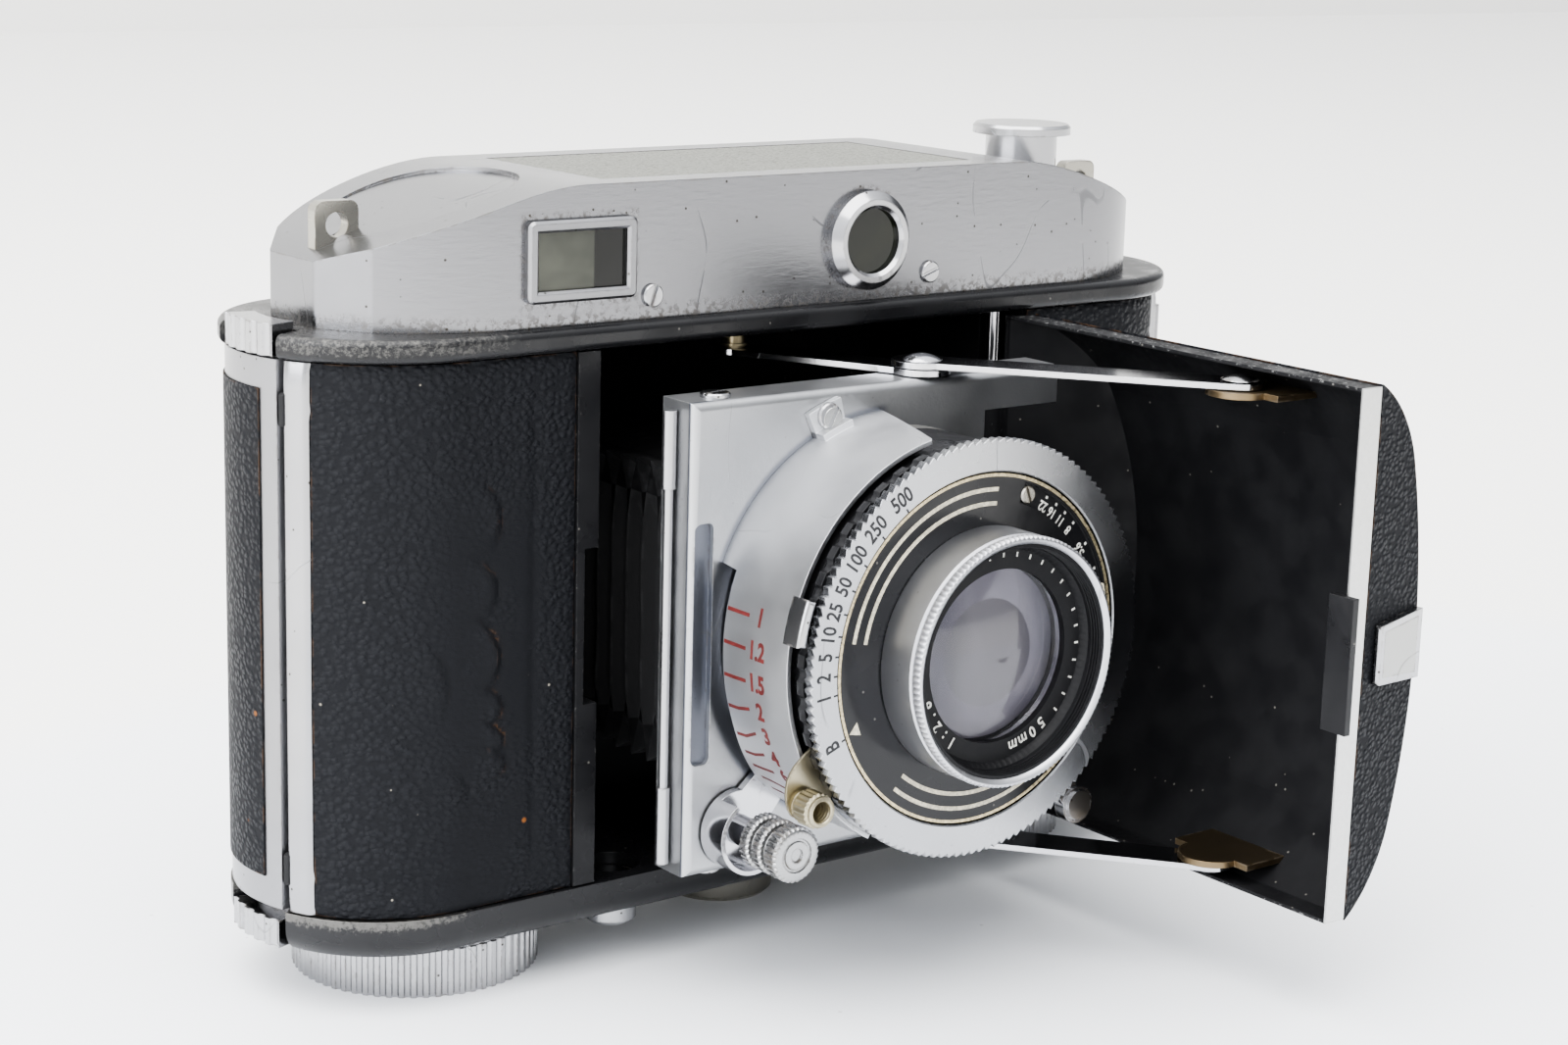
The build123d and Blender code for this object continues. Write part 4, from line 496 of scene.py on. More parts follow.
def lettering(name, entries, material, body, narrow=0.82, weight=0.028):
    """Numerals as thin solids: entries are (text, height, centre, reading direction, up direction)."""
    shapes = []
    for text, height, centre, reading, up in entries:
        curve = bpy.data.curves.new(name + "_text", "FONT")
        curve.body = text
        curve.size = height * SIZE_OF_CAPITALS
        curve.extrude = 0.018 * MM
        curve.offset = weight * height
        curve.resolution_u = 3
        curve.align_x = "CENTER"
        curve.align_y = "CENTER"
        source = shown(name + "_text", curve)
        graph = bpy.context.evaluated_depsgraph_get()
        flat = bpy.data.meshes.new_from_object(source.evaluated_get(graph))
        across = reading.normalized()
        upward = up.normalized()
        facing = across.cross(upward)
        frame_matrix = Matrix((across * narrow, upward, facing)).transposed()
        points = [centre + frame_matrix @ vertex.co for vertex in flat.vertices]
        shapes.append((points, [tuple(polygon.vertices) for polygon in flat.polygons]))
        bpy.data.objects.remove(source)
        bpy.data.curves.remove(curve)
        bpy.data.meshes.remove(flat)
    return mesh_piece(name, *joined(shapes), material, body)


def smooth(low, high, value):
    """0 below low, 1 above high, and a smooth step between."""
    share = min(1.0, max(0.0, (value - low) / (high - low)))
    return share * share * (3.0 - 2.0 * share)


# ---------------------------------------------------------------- camera, floor and light
CAMERA_PLACE = (-0.19521, -0.26423, 0.11891)
CAMERA_FORWARD = (0.59572, 0.77203, -0.22157)
CAMERA_ROLL = 1.5965                # degrees
CAMERA_LENS = 66.82                 # millimetres, with the sensor below
SENSOR_WIDTH = 36.0

TABLE_CENTRE = (0.037, -0.061, 0.0)
TABLE_RADIUS = 0.174
TABLE_FADE = 0.012
TABLE_TONES = ((0.83, 0.845, 0.87), (0.88, 0.89, 0.91))
SPECK_TONE = (0.5, 0.5, 0.5)
ROOM_TONE = (0.89, 0.88, 0.858)
FLOOR_REACH = 3
WALL_Y = 1.5
WALL_TOP = 2

# name, place, size, power in watts and colour of each soft light
LIGHTS = (
    ("ceiling_panel", (-0.25, -0.10, 1.2), (1.6, 1.4), 35.0, (1.0, 0.99, 0.97)),
    ("left_window", (-1.25, -0.15, 0.60), (1.0, 1.0), 19.0, (0.95, 0.97, 1.0)),
)
LIGHT_AIM = Vector((0.0, -0.01, 0.04))

# the room is brightest overhead and to the left, and darkest low on the right
BRIGHT_SIDE = (-0.55, 0.25, 0.80)
ROOM_FALL = (("From Min", -0.65), ("From Max", 0.75), ("To Min", 0.32), ("To Max", 2.35))
SKY_TONE = (0.93, 0.95, 0.98, 1.0)


def place_camera():
    data = bpy.data.cameras.new("view")
    data.lens = CAMERA_LENS
    data.sensor_width = SENSOR_WIDTH
    data.clip_start = 0.01
    camera = shown("view", data)
    forward = Vector(CAMERA_FORWARD).normalized()
    level = Vector((forward.y, -forward.x, 0.0)).normalized()
    upright = level.cross(forward)
    roll = math.radians(CAMERA_ROLL)
    right = math.cos(roll) * level + math.sin(roll) * upright
    up = math.cos(roll) * upright - math.sin(roll) * level
    turned = Matrix((right, up, -forward)).transposed().to_4x4()
    camera.matrix_world = Matrix.Translation(CAMERA_PLACE) @ turned
    bpy.context.scene.camera = camera


def build_stage():
    """A white round table, its edge softly lost against an off-white room, and a wall far behind."""
    table = Paint("table_white", Roughness=0.7)
    away = table.node("ShaderNodeVectorMath", operation="DISTANCE")
    table.put(away.inputs[0], table.place)
    table.put(away.inputs[1], TABLE_CENTRE)
    beyond = table.ease(away.outputs["Value"], TABLE_RADIUS - TABLE_FADE, TABLE_RADIUS + TABLE_FADE)
    white = table.mix(table.noise(0.05, 3.0), *TABLE_TONES)
    specks = table.times(table.noise(0.004, 4.0, 0.8), table.dots(0.006, 0.05))
    table.set("Base Color", table.mix(beyond, table.mix(specks, white, SPECK_TONE), ROOM_TONE))
    wall = Paint("wall_white", Roughness=0.8)
    wall.set("Base Color", wall.mix(wall.noise(0.3, 2.0), ROOM_TONE, shaded(ROOM_TONE, 0.98)))
    near_left, near_right = (-FLOOR_REACH, -FLOOR_REACH, 0), (FLOOR_REACH, -FLOOR_REACH, 0)
    far_left, far_right = (-FLOOR_REACH, WALL_Y, 0), (FLOOR_REACH, WALL_Y, 0)
    top_left, top_right = (-FLOOR_REACH, WALL_Y, WALL_TOP), (FLOOR_REACH, WALL_Y, WALL_TOP)
    flats = (
        ("table", [near_left, near_right, far_right, far_left], table.material),
        ("wall", [far_left, far_right, top_right, top_left], wall.material),
    )
    for name, corners, material in flats:
        mesh = bpy.data.meshes.new(name)
        mesh.from_pydata(corners, [], [(0, 1, 2, 3)])
        mesh.materials.append(material)
        shown(name, mesh)


def soft_light(name, place, size, power, tone):
    data = bpy.data.lights.new(name, "AREA")
    data.shape = "RECTANGLE"
    data.size, data.size_y = size
    data.energy = power
    data.color = tone
    lamp = shown(name, data)
    lamp.location = place
    lamp.rotation_euler = (LIGHT_AIM - Vector(place)).to_track_quat("-Z", "Y").to_euler()


def build_light():
    for light in LIGHTS:
        soft_light(*light)
    world = bpy.data.worlds.new("room")
    world.use_nodes = True
    tree = world.node_tree
    sky = tree.nodes["Background"]
    direction = tree.nodes.new("ShaderNodeTexCoord")
    towards = tree.nodes.new("ShaderNodeVectorMath")
    towards.operation = "DOT_PRODUCT"
    towards.inputs[1].default_value = Vector(BRIGHT_SIDE).normalized()
    tree.links.new(direction.outputs["Generated"], towards.inputs[0])
    fall = tree.nodes.new("ShaderNodeMapRange")
    fall.interpolation_type = "SMOOTHSTEP"
    tree.links.new(towards.outputs["Value"], fall.inputs["Value"])
    for socket, value in ROOM_FALL:
        fall.inputs[socket].default_value = value
    tree.links.new(fall.outputs["Result"], sky.inputs["Strength"])
    sky.inputs["Color"].default_value = SKY_TONE
    bpy.context.scene.world = world
    bpy.context.scene.view_settings.look = "AgX - Medium High Contrast"


place_camera()
build_stage()
build_light()

# ---------------------------------------------------------------- finishes of the CAD nodes
def housing_stains(paint):
    """Yellow-brown dirt along the housing's lower edge and round its window frames."""
    clean_z, dirty_z = 0.0738, 0.0716
    behind_front, front = -0.004, -0.006
    low = paint.along("Z", clean_z, dirty_z)
    patchy = paint.ease(paint.noise(0.9 * MM, 5.0, 0.8), 0.47, 0.60)

    frame_low, frame_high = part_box("finder_frames")
    centre = (frame_low + frame_high) / 2
    outside = [
        paint.math("SUBTRACT", paint.math("ABSOLUTE", paint.math("SUBTRACT", paint.axis(letter), at)), half)
        for letter, at, half in (
            ("X", centre.x, (frame_high.x - frame_low.x) / 2),
            ("Z", centre.z, (frame_high.z - frame_low.z) / 2),
        )
    ]
    frames = paint.ease(paint.largest(*outside), 0.9 * MM, 0.0)

    bezel_low, bezel_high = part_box("rangefinder_bezel")
    away = paint.off_axis((bezel_low + bezel_high) / 2)
    off_bezel = paint.math("SUBTRACT", away, (bezel_high.x - bezel_low.x) / 2)
    bezel = paint.ease(off_bezel, 0.8 * MM, 0.0)

    on_front = paint.along("Y", behind_front, front)
    around_frames = paint.times(paint.largest(frames, bezel), on_front)
    return paint.times(paint.largest(low, paint.times(around_frames, 0.8)), patchy, 0.55)


housing_chrome = bare_metal("housing_chrome", (0.245, 0.246, 0.256), 0.23, grain=0.5, grime=0.8,
                            brushed=(0.22, 0.22, 1.0), pits=0.8, stains=housing_stains)
satin_chrome = bare_metal("satin_chrome", (0.29, 0.29, 0.30), 0.30, grain=0.3, grime=0.55,
                          brushed=(0.25, 0.25, 1.0), pits=0.45)
polished_chrome = bare_metal("polished_chrome", (0.42, 0.42, 0.43), 0.19, grime=0.75, pits=0.5)
strut_chrome = bare_metal("strut_chrome", (0.55, 0.55, 0.57), 0.14, grime=0.25, pits=0.1)
dial_chrome = bare_metal("dial_chrome", (0.42, 0.425, 0.44), 0.26, grain=0.1, grime=0.15, pits=0.1,
                         turned=0.85)
barrel_chrome = bare_metal("barrel_chrome", (0.56, 0.565, 0.59), 0.38, grain=0.2, grime=0.2,
                           brushed=(1.0, 0.1, 1.0), pits=0.1, turned=0.5)
worn_nickel = bare_metal("worn_nickel", (0.40, 0.385, 0.34), 0.26, grime=0.9, pits=0.6)
aged_brass = bare_metal("aged_brass", (0.45, 0.38, 0.24), 0.32, grime=0.9, pits=0.4)
bracket_brass = bare_metal("bracket_brass", (0.20, 0.15, 0.09), 0.38, grime=1.0, pits=0.4)
plain_steel = bare_metal("plain_steel", (0.42, 0.42, 0.43), 0.28, grime=0.4)


def recess_shade(paint):
    """Painted shade in the recess at the standard's left edge, and along the distance band's foot."""
    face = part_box("lens_standard")[0].y
    recess_x = (-0.0218, -0.0222)
    foot_radius = (0.02345, 0.02275)
    foot_x = (0.0010, -0.0005)
    inside = paint.along("Y", face + 0.55 * MM, face + 0.70 * MM)
    left = paint.along("X", *recess_x)
    shallow = paint.along("Y", face + 0.95 * MM, face + 0.85 * MM)
    recess = paint.times(paint.times(inside, left), paint.times(shallow, 0.85))
    foot = paint.times(paint.ease(paint.off_axis(LENS), *foot_radius), paint.along("X", *foot_x))
    return paint.largest(recess, paint.times(foot, 0.75))


# the standard's metal, with painted shade in its recess and along the band's foot
pearl_metal = bare_metal("pearl_metal", (0.43, 0.435, 0.445), 0.36, grain=0.8, grime=0.5, pits=0.1,
                         darker=recess_shade)
blued_steel = dark_inside("blued_steel", (0.045, 0.05, 0.06), 0.35)
matt_black = dark_inside("matt_black", (0.016, 0.016, 0.017), 0.75)
black_plastic = dark_inside("black_plastic", (0.022, 0.022, 0.023), 0.35)
black_ink = ink("black_ink", (0.012, 0.012, 0.014))
red_ink = ink("red_ink", (0.10, 0.007, 0.006))
cream_ink = ink("cream_ink", (0.62, 0.57, 0.44), 0.4)
gilt_line = ink("gilt_line", (0.62, 0.53, 0.34), 0.32, 0.8)
white_ink = ink("white_ink", (0.72, 0.71, 0.66), 0.5)


def rail_wear(paint):
    """The top rail is rubbed to speckled metal round its left end."""
    left_end, upper_edge = (-0.022, -0.044), (0.0688, 0.0702)
    rubbed = paint.times(paint.along("X", *left_end), paint.along("Z", *upper_edge), 0.52)
    return paint.largest(rubbed, paint.times(paint.edges(0.35 * MM), 0.30))


def base_wear(paint):
    """The bottom plate is rubbed along its upper edge, and through to grey round its left end."""
    left_end, upper_edge = (-0.036, -0.052), (0.0088, 0.0103)
    along = paint.times(paint.along("Z", *upper_edge), 0.30)
    round_end = paint.times(paint.along("X", *left_end), 0.34)
    return paint.largest(paint.math("ADD", along, round_end), paint.times(paint.edges(0.3 * MM), 0.25))


def chassis_wear(paint):
    return paint.times(paint.edges(0.3 * MM), 0.42)


def door_wear(paint):
    """The door's outer rim is bare metal; the black lining is chipped along the rim's edge."""
    low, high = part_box("door_shell")
    rim_x = (0.02883, 0.02875)
    rim_start, rim_full = 0.30 * MM, 0.22 * MM
    face = paint.along("X", low.x + 2.05 * MM, low.x + 1.9 * MM)
    rim = paint.along("X", *rim_x)
    end = paint.along("Y", low.y + rim_start, low.y + rim_full)
    top = paint.along("Z", high.z - rim_start, high.z - rim_full)
    bottom = paint.along("Z", low.z + rim_start, low.z + rim_full)
    sides = paint.times(paint.largest(top, bottom), 0.42)
    bare = paint.largest(end, sides, paint.times(rim, 0.35))
    chipped = paint.times(paint.edges(0.3 * MM), face, 0.3)
    return paint.largest(bare, chipped)


def shutter_wear(paint):
    """The housing's back flange is bare metal; its front edges are rubbed."""
    flange_y = (-0.0324, -0.0320)
    return paint.largest(paint.along("Y", *flange_y), paint.times(paint.edges(0.22 * MM), 0.36))


rail_enamel = enamel("rail_enamel", rail_wear, bare=(0.085, 0.083, 0.079), gloss=0.34)
base_enamel = enamel("base_enamel", base_wear, bare=(0.105, 0.102, 0.096), gloss=0.34)
chassis_enamel = enamel("chassis_enamel", chassis_wear, sheen=0.34, gloss=0.20)
door_enamel = enamel("door_enamel", door_wear, sheen=0.50, bare=(0.48, 0.48, 0.47), dust=0.6, gloss=0.16)
shutter_enamel = enamel("shutter_enamel", shutter_wear, sheen=0.30, dust=0.8)
face_enamel = enamel("face_enamel", lambda paint: 0.0, sheen=0.16, dust=0.4)
catch_enamel = enamel("catch_enamel", lambda paint: 0.0, sheen=0.3)


def front_smooth(paint):
    """Right and lower middle of the left panel, where the grain is rubbed away."""
    rubbed_x, border_x, rubbed_z = (-0.051, -0.045), (-0.0335, -0.0365), (0.062, 0.048)
    across = paint.times(paint.along("X", *rubbed_x), paint.along("X", *border_x))
    patchy = paint.ease(paint.noise(7 * MM, 2.0), 0.25, 0.55)
    low = paint.times(paint.along("Z", *rubbed_z), patchy)
    return paint.times(across, low, 0.92)


front_grain = leather("front_grain", 0.78 * MM, front_smooth)
rear_grain = leather("rear_grain", 0.78 * MM)
door_grain = leather("door_grain", 0.72 * MM)


def panel_finish():
    """Fine grey-green leatherette of the top panel."""
    paint = Paint("panel_grain")
    pebbles = paint.ease(paint.cells(0.75 * MM, "SMOOTH_F1", (1.0, 1.4, 1.0)), 0.7, 0.1)
    crease = paint.ease(paint.cells(0.75 * MM, "DISTANCE_TO_EDGE", (1.0, 1.4, 1.0)), 0.0, 0.16)
    paint.set("Base Color", paint.mix(crease, (0.075, 0.075, 0.062), (0.19, 0.193, 0.17)))
    paint.set("Roughness", 0.5)
    paint.set("Metallic", 0.25)
    paint.set("Normal", paint.bump(pebbles, 0.10 * MM, 0.8))
    return paint.material


def bellows_finish():
    """Matt black cloth-backed leather, greyer along the folds."""
    paint = Paint("bellows_cloth")
    weave = paint.noise(0.22 * MM, 3.0, 0.7)
    fold = paint.times(paint.edges(0.6 * MM), paint.ease(paint.noise(2 * MM, 3.0), 0.4, 0.65))
    paint.set("Base Color", paint.mix(fold, (0.0055, 0.0055, 0.006), (0.020, 0.020, 0.021)))
    paint.set("Roughness", 0.7)
    paint.set("Specular IOR Level", 0.2)
    paint.set("Normal", paint.bump(weave, 0.05 * MM, 0.7))
    return paint.material


def lens_glass():
    paint = Paint("lens_glass", Roughness=0.07, IOR=1.45)
    smear = paint.noise(5 * MM, 3.0)
    paint.set("Base Color", paint.mix(smear, (0.86, 0.84, 0.93), (0.95, 0.94, 0.98)))
    paint.set("Transmission Weight", 1.0)
    return paint.material


def hazed_glass():
    """The inner element: lilac-grey haze, with a painted reflection brighter across the middle and painted
    shade in a darker crescent at its left.
    """
    paint = Paint("hazed_glass", Roughness=0.42)
    left_x, right_x = (-0.0078, -0.0015), (0.0090, 0.0035)
    # painted reflection across the middle of the element, painted shade towards its sides
    painted_reflection = paint.times(paint.along("X", *left_x), paint.along("X", *right_x))
    swirl = paint.noise(5 * MM, 2.0, 0.5, stretch=(1.6, 1.0, 0.5))
    tone = paint.mix(painted_reflection, (0.035, 0.037, 0.048), (0.155, 0.15, 0.158))
    paint.set("Base Color", paint.mix(paint.ease(swirl, 0.4, 0.7, 0.0, 0.4), tone, (0.19, 0.185, 0.195)))
    paint.set("Coat Weight", 0.25)
    paint.set("Coat Roughness", 0.22)
    return paint.material


# the finder pane carries painted shade from x = -29 mm on
finder_glass = tinted_glass("finder_glass", (0.070, 0.072, 0.056), 0.10, 0.0, 14 * MM, (0.034, 0.036, 0.028),
                            painted_shade_from=-29.0 * MM)
olive_glass = tinted_glass("olive_glass", (0.008, 0.009, 0.004), 0.08, 0.0, 5 * MM, (0.005, 0.006, 0.003))
prism_glass = tinted_glass("prism_glass", (0.75, 0.78, 0.76), 0.05, 0.8, 5 * MM, (0.6, 0.62, 0.6))

finishes = {
    chassis_enamel: ("chassis", "opening_lip"),
    rail_enamel: ("top_plate",),
    base_enamel: ("bottom_plate",),
    door_enamel: ("door_shell",),
    shutter_enamel: ("shutter_housing", "knurled_collar"),
    face_enamel: ("shutter_face",),
    bracket_brass: ("strut_brackets",),
    catch_enamel: ("door_catch",),
    housing_chrome: ("top_housing",),
    satin_chrome: ("rear_cover", "finder_frames"),
    polished_chrome: (
        "rangefinder_bezel", "door_pull", "housing_screws", "door_rivets", "standard_screws", "rewind_knob",
        "wind_knob", "latch_bar", "release_button", "cocking_lever", "release_lever", "door_button",
    ),
    worn_nickel: ("strap_lugs", "tripod_bush"),
    strut_chrome: ("door_struts", "body_struts", "knee_rivets", "focus_ring", "hinge_rods"),
    pearl_metal: ("lens_standard",),
    aged_brass: ("strut_posts",),
    plain_steel: ("film_rails", "standard_rod", "rewind_fork", "pressure_spring"),
    blued_steel: ("shutter_blades",),
    matt_black: ("pressure_plate", "rear_cell"),
    black_plastic: ("take_up_spool",),
    cream_ink: ("aperture_pointer",),
    rear_grain: ("rear_leather",),
    door_grain: ("door_leather",),
    panel_finish(): ("top_panel",),
    lens_glass(): ("front_lens", "rear_lens"),
    finder_glass: ("finder_glasses",),
    olive_glass: ("rangefinder_glass",),
    prism_glass: ("rangefinder_prisms",),
}

for finish, names in finishes.items():
    for node_name in names:
        mesh = nodes[node_name].data
        mesh.materials.clear()
        mesh.materials.append(finish)


# ---------------------------------------------------------------- front leather
def leather_path(side):
    """Points along a front panel in plan, with outward normals, from the opening round the body's end."""
    low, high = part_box("front_leather")
    end = high.x if side > 0 else -low.x
    radius = -low.y
    end_y = 9.15 * MM if side < 0 else 7.9 * MM
    centre_x = end - math.sqrt(radius ** 2 - end_y ** 2)
    start = 31.2 * MM
    straight = centre_x - start
    last_turn = math.acos(end_y / radius)
    length = straight + radius * last_turn
    spots = []
    steps = round(length / (0.45 * MM))
    for i in range(steps + 1):
        run = length * i / steps
        if run < straight:
            spots.append((run, Vector((side * (start + run), -radius, 0)), Vector((0, -1, 0))))
        else:
            turn = (run - straight) / radius
            out = Vector((side * math.sin(turn), -math.cos(turn), 0))
            spots.append((run, Vector((side * centre_x, 0, 0)) + out * radius, out))
    return spots


# loose crescents in the left panel: height, distance from the opening, half height, strength
WRINKLES = (
    (53.0 * MM, 9.4 * MM, 4.4 * MM, 0.7), (45.5 * MM, 9.8 * MM, 3.6 * MM, 0.7),
    (38.4 * MM, 9.6 * MM, 4.6 * MM, 1.0), (32.6 * MM, 9.2 * MM, 2.6 * MM, 0.8),
    (29.2 * MM, 9.0 * MM, 2.3 * MM, 0.9), (26.4 * MM, 8.8 * MM, 2.2 * MM, 0.7),
    (36.0 * MM, 15.8 * MM, 6.0 * MM, 0.4), (24.0 * MM, 13.4 * MM, 3.0 * MM, 0.4),
)


EDGE_ROLL, EDGE_ROLL_WIDTH = 0.22 * MM, 0.7 * MM
BORDER_FROM_OPENING, BORDER_FROM_TOP, BORDER_FROM_FOOT = 5.2 * MM, 5.0 * MM, 4.2 * MM
BORDER_STEP = 0.10 * MM
BORDER_GROOVE, BORDER_GROOVE_WIDTH = 0.16 * MM, 0.55 * MM
WAVE_HEIGHT = 0.05 * MM


def leather_height(run, z, low_z, high_z, seed, wrinkled):
    """Relief of a panel in metres: rolled edges, an embossed border, slow waves and loose wrinkles."""
    rim = min(z - low_z, high_z - z, run)
    height = -EDGE_ROLL * (1.0 - smooth(0.0, EDGE_ROLL_WIDTH, rim))
    border = min(run - BORDER_FROM_OPENING, high_z - BORDER_FROM_TOP - z, z - low_z - BORDER_FROM_FOOT)
    height += BORDER_STEP * (smooth(-0.5 * MM, 0.4 * MM, border) - 1.0)
    height -= BORDER_GROOVE * math.exp(-(border / BORDER_GROOVE_WIDTH) ** 2)
    height += WAVE_HEIGHT * noise.noise(Vector((run / (6 * MM), z / (9 * MM), seed)))
    if wrinkled:
        for spot_z, spot_run, size, depth in WRINKLES:
            across = (z - spot_z) / size
            if abs(across) < 1.0:
                bend = 2.6 * MM * across ** 2 + 0.9 * MM * across
                crest = spot_run + bend + 0.25 * MM * noise.noise(Vector((z / (3 * MM), 8.0, seed)))
                taper = (1.0 - across ** 2) ** 1.5
                behind = max(0.0, run - crest)
                step = smooth(crest - 0.55 * MM, crest + 0.75 * MM, run) * math.exp(-behind / (2.6 * MM))
                crease = math.exp(-((run - crest + 0.35 * MM) / (0.45 * MM)) ** 2)
                height += taper * depth * (0.80 * MM * step - 0.26 * MM * crease)
    return height


def build_front_leather(side, name, seed):
    spots = leather_path(side)
    low_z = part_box("front_leather")[0].z
    high_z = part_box("front_leather")[1].z
    rows = 131
    thickness = 0.75 * MM

    def outer(i, j):
        run, point, out = spots[i]
        z = low_z + (high_z - low_z) * j / (rows - 1)
        lift = leather_height(run, z, low_z, high_z, seed, side < 0)
        return point + out * (lift - 0.03 * MM) + Vector((0, 0, z))

    def inner(i, j):
        _, point, out = spots[i]
        z = low_z + (high_z - low_z) * j / (rows - 1)
        return point - out * thickness + Vector((0, 0, z))

    shape = sheet_solid(len(spots), rows, outer, inner)
    grain = front_grain if side < 0 else rear_grain
    return mesh_piece(name, *shape, grain, "camera_body", slot="front_leather")


left_panel = build_front_leather(-1, "left_front_leather", 1.7)
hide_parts("front_leather")
build_front_leather(1, "right_front_leather", 5.2)


# ---------------------------------------------------------------- edge strips and door pull
BODY_ROUND_X = 45.1 * MM            # the body's ends are half-rounds about x = +-BODY_ROUND_X
BODY_ROUND_R = 16.2 * MM


def end_strip(side, from_y, to_y, low_z, high_z, stand_out):
    """Convex metal strip round the body's end, between two depths."""
    steps = 13
    rows = 41

    def at(i, j, reach):
        y = from_y + (to_y - from_y) * i / (steps - 1)
        z = low_z + (high_z - low_z) * j / (rows - 1)
        turn = math.asin(-y / BODY_ROUND_R)
        return Vector((side * (BODY_ROUND_X + reach * math.cos(turn)), -reach * math.sin(turn), z))

    def outer(i, j):
        across = 1.0 - abs(2 * i / (steps - 1) - 1) ** 5
        along = smooth(0.0, 1.4, min(j, rows - 1 - j))
        return at(i, j, BODY_ROUND_R - 0.30 * MM + (stand_out + 0.30 * MM) * across * (0.5 + 0.5 * along))

    return sheet_solid(steps, rows, outer, lambda i, j: at(i, j, BODY_ROUND_R - 0.75 * MM))


def build_edge_strips():
    low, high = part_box("edge_strips")
    front_y, left_back_y, right_back_y = -9.08 * MM, -6.20 * MM, -7.95 * MM
    left = end_strip(-1, front_y, left_back_y, low.z, high.z, 0.33 * MM)
    right = end_strip(1, front_y, right_back_y, low.z, high.z, 0.30 * MM)
    mesh_piece("rounded_edge_strips", *joined([left, right]), strip_chrome, "camera_body", ("edge_strips",),
               "edge_strips")
    slot_half = 1.7 * MM
    slots = [
        end_strip(-1, -6.75 * MM, -5.85 * MM, z - slot_half, z + slot_half, 0.36 * MM)
        for z in (low.z + 4.6 * MM, high.z - 5.0 * MM)
    ]
    mesh_piece("strip_slots", *joined(slots), matt_black, "camera_body")


def build_pull_insert():
    """Pale plate set into the door pull's chrome frame."""
    low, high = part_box("door_pull")
    lean = 0.2016                       # how far the pull runs back for each unit along X
    corners = ((low.x + 1.0 * MM, 2.5), (high.x - 0.8 * MM, 3.1))       # x, and half the height in mm
    verts = []
    for lift in (0.10 * MM, -0.25 * MM):
        for x, half in corners:
            for side in (-1, 1):
                y = low.y + lean * (x - low.x) - lift
                verts.append(Vector((x, y, middle("door_pull").z + side * half * MM)))
    faces = [(0, 1, 3, 2), (4, 6, 7, 5), (0, 4, 5, 1), (2, 3, 7, 6), (0, 2, 6, 4), (1, 5, 7, 3)]
    mesh_piece("pull_insert", verts, faces, insert_metal, "front_door")


strip_chrome = bare_metal("strip_chrome", (0.36, 0.36, 0.37), 0.22, grain=0.2, grime=0.9, pits=0.7)
insert_metal = bare_metal("insert_metal", (0.44, 0.44, 0.43), 0.38, grain=0.6, grime=0.6, pits=0.3)
build_edge_strips()
build_pull_insert()


# ---------------------------------------------------------------- bellows
def build_bellows():
    """Pleated square tube from the film gate to the lens standard, folds nested at its corners."""
    low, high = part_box("bellows")
    back_y, front_y = high.y, low.y
    centre = middle("bellows")
    pleats = 13
    rings = 2 * pleats + 1
    half_back = Vector((20.4 * MM, 16.0 * MM))
    half_front = Vector((19.6 * MM, 17.2 * MM))
    fold = 1.5 * MM
    side_steps = 10
    outline = []
    for corner in range(4):
        for step in range(side_steps):
            outline.append((corner, step / side_steps))
    square = [(-1, -1), (1, -1), (1, 1), (-1, 1)]

    def point(ring, spot, inset):
        corner, share = outline[spot]
        along = ring / (rings - 1)
        half = half_back.lerp(half_front, along)
        start, end = square[corner], square[(corner + 1) % 4]
        x = start[0] + (end[0] - start[0]) * share
        z = start[1] + (end[1] - start[1]) * share
        folded_in = fold if ring % 2 else 0.0
        # the corner tucks the opposite way to the side beside it
        tuck = smooth(0.18, 0.0, min(share, 1.0 - share))
        depth = folded_in * (1.0 - tuck) + (fold - folded_in) * tuck * 0.7 + inset
        sway = 0.25 * MM * noise.noise(Vector((along * 5, spot * 0.7, 2.2)))
        y = back_y + (front_y - back_y) * along
        return Vector((
            centre.x + x * (half.x - depth) + sway,
            y,
            centre.z + z * (half.y - depth),
        ))

    count = len(outline)
    verts = [point(ring, spot, 0.0) for ring in range(rings) for spot in range(count)]
    verts += [point(ring, spot, 0.35 * MM) for ring in range(rings) for spot in range(count)]
    shift = rings * count
    faces = []
    for ring in range(rings - 1):
        for spot in range(count):
            following = (spot + 1) % count
            a, b = ring * count + spot, ring * count + following
            faces.append((a, b, b + count, a + count))
            faces.append((a + shift, a + count + shift, b + count + shift, b + shift))
    for ring in (0, rings - 1):
        for spot in range(count):
            a, b = ring * count + spot, ring * count + (spot + 1) % count
            faces.append((a, b, b + shift, a + shift))
    made = mesh_piece(
        "pleated_bellows", verts, faces, bellows_finish(), "camera_body", ("bellows",), "bellows", sharp=20.0
    )
    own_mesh(made)


build_bellows()


# ---------------------------------------------------------------- shutter dial
def build_speed_ring():
    low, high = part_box("speed_ring")
    inner = FACE_RADIUS + 0.15 * MM
    back, front = high.y, low.y
    tooth = 0.42                        # millimetres
    profile = [(inner, back, 0.0)] + profile_at(inner, front, (0, 0.15, 0), (0.15, 0, 0))
    profile += profile_at(RING_RADIUS, front, (-0.62, 0, 0), (-0.05, 0, tooth), (0, 0.06, tooth))
    profile += profile_at(RING_RADIUS, back, (0, -0.55, tooth), (-0.65, -0.25, 0), (-0.65, 0, 0))
    teeth = 132
    wave = (0.0, 0.25, 0.6, 1.0)
    shape = lathe(profile, teeth * len(wave), wave=wave)
    mesh_piece("saw_toothed_speed_ring", *shape, dial_chrome, "speed_ring", ("speed_ring",), "speed_ring")


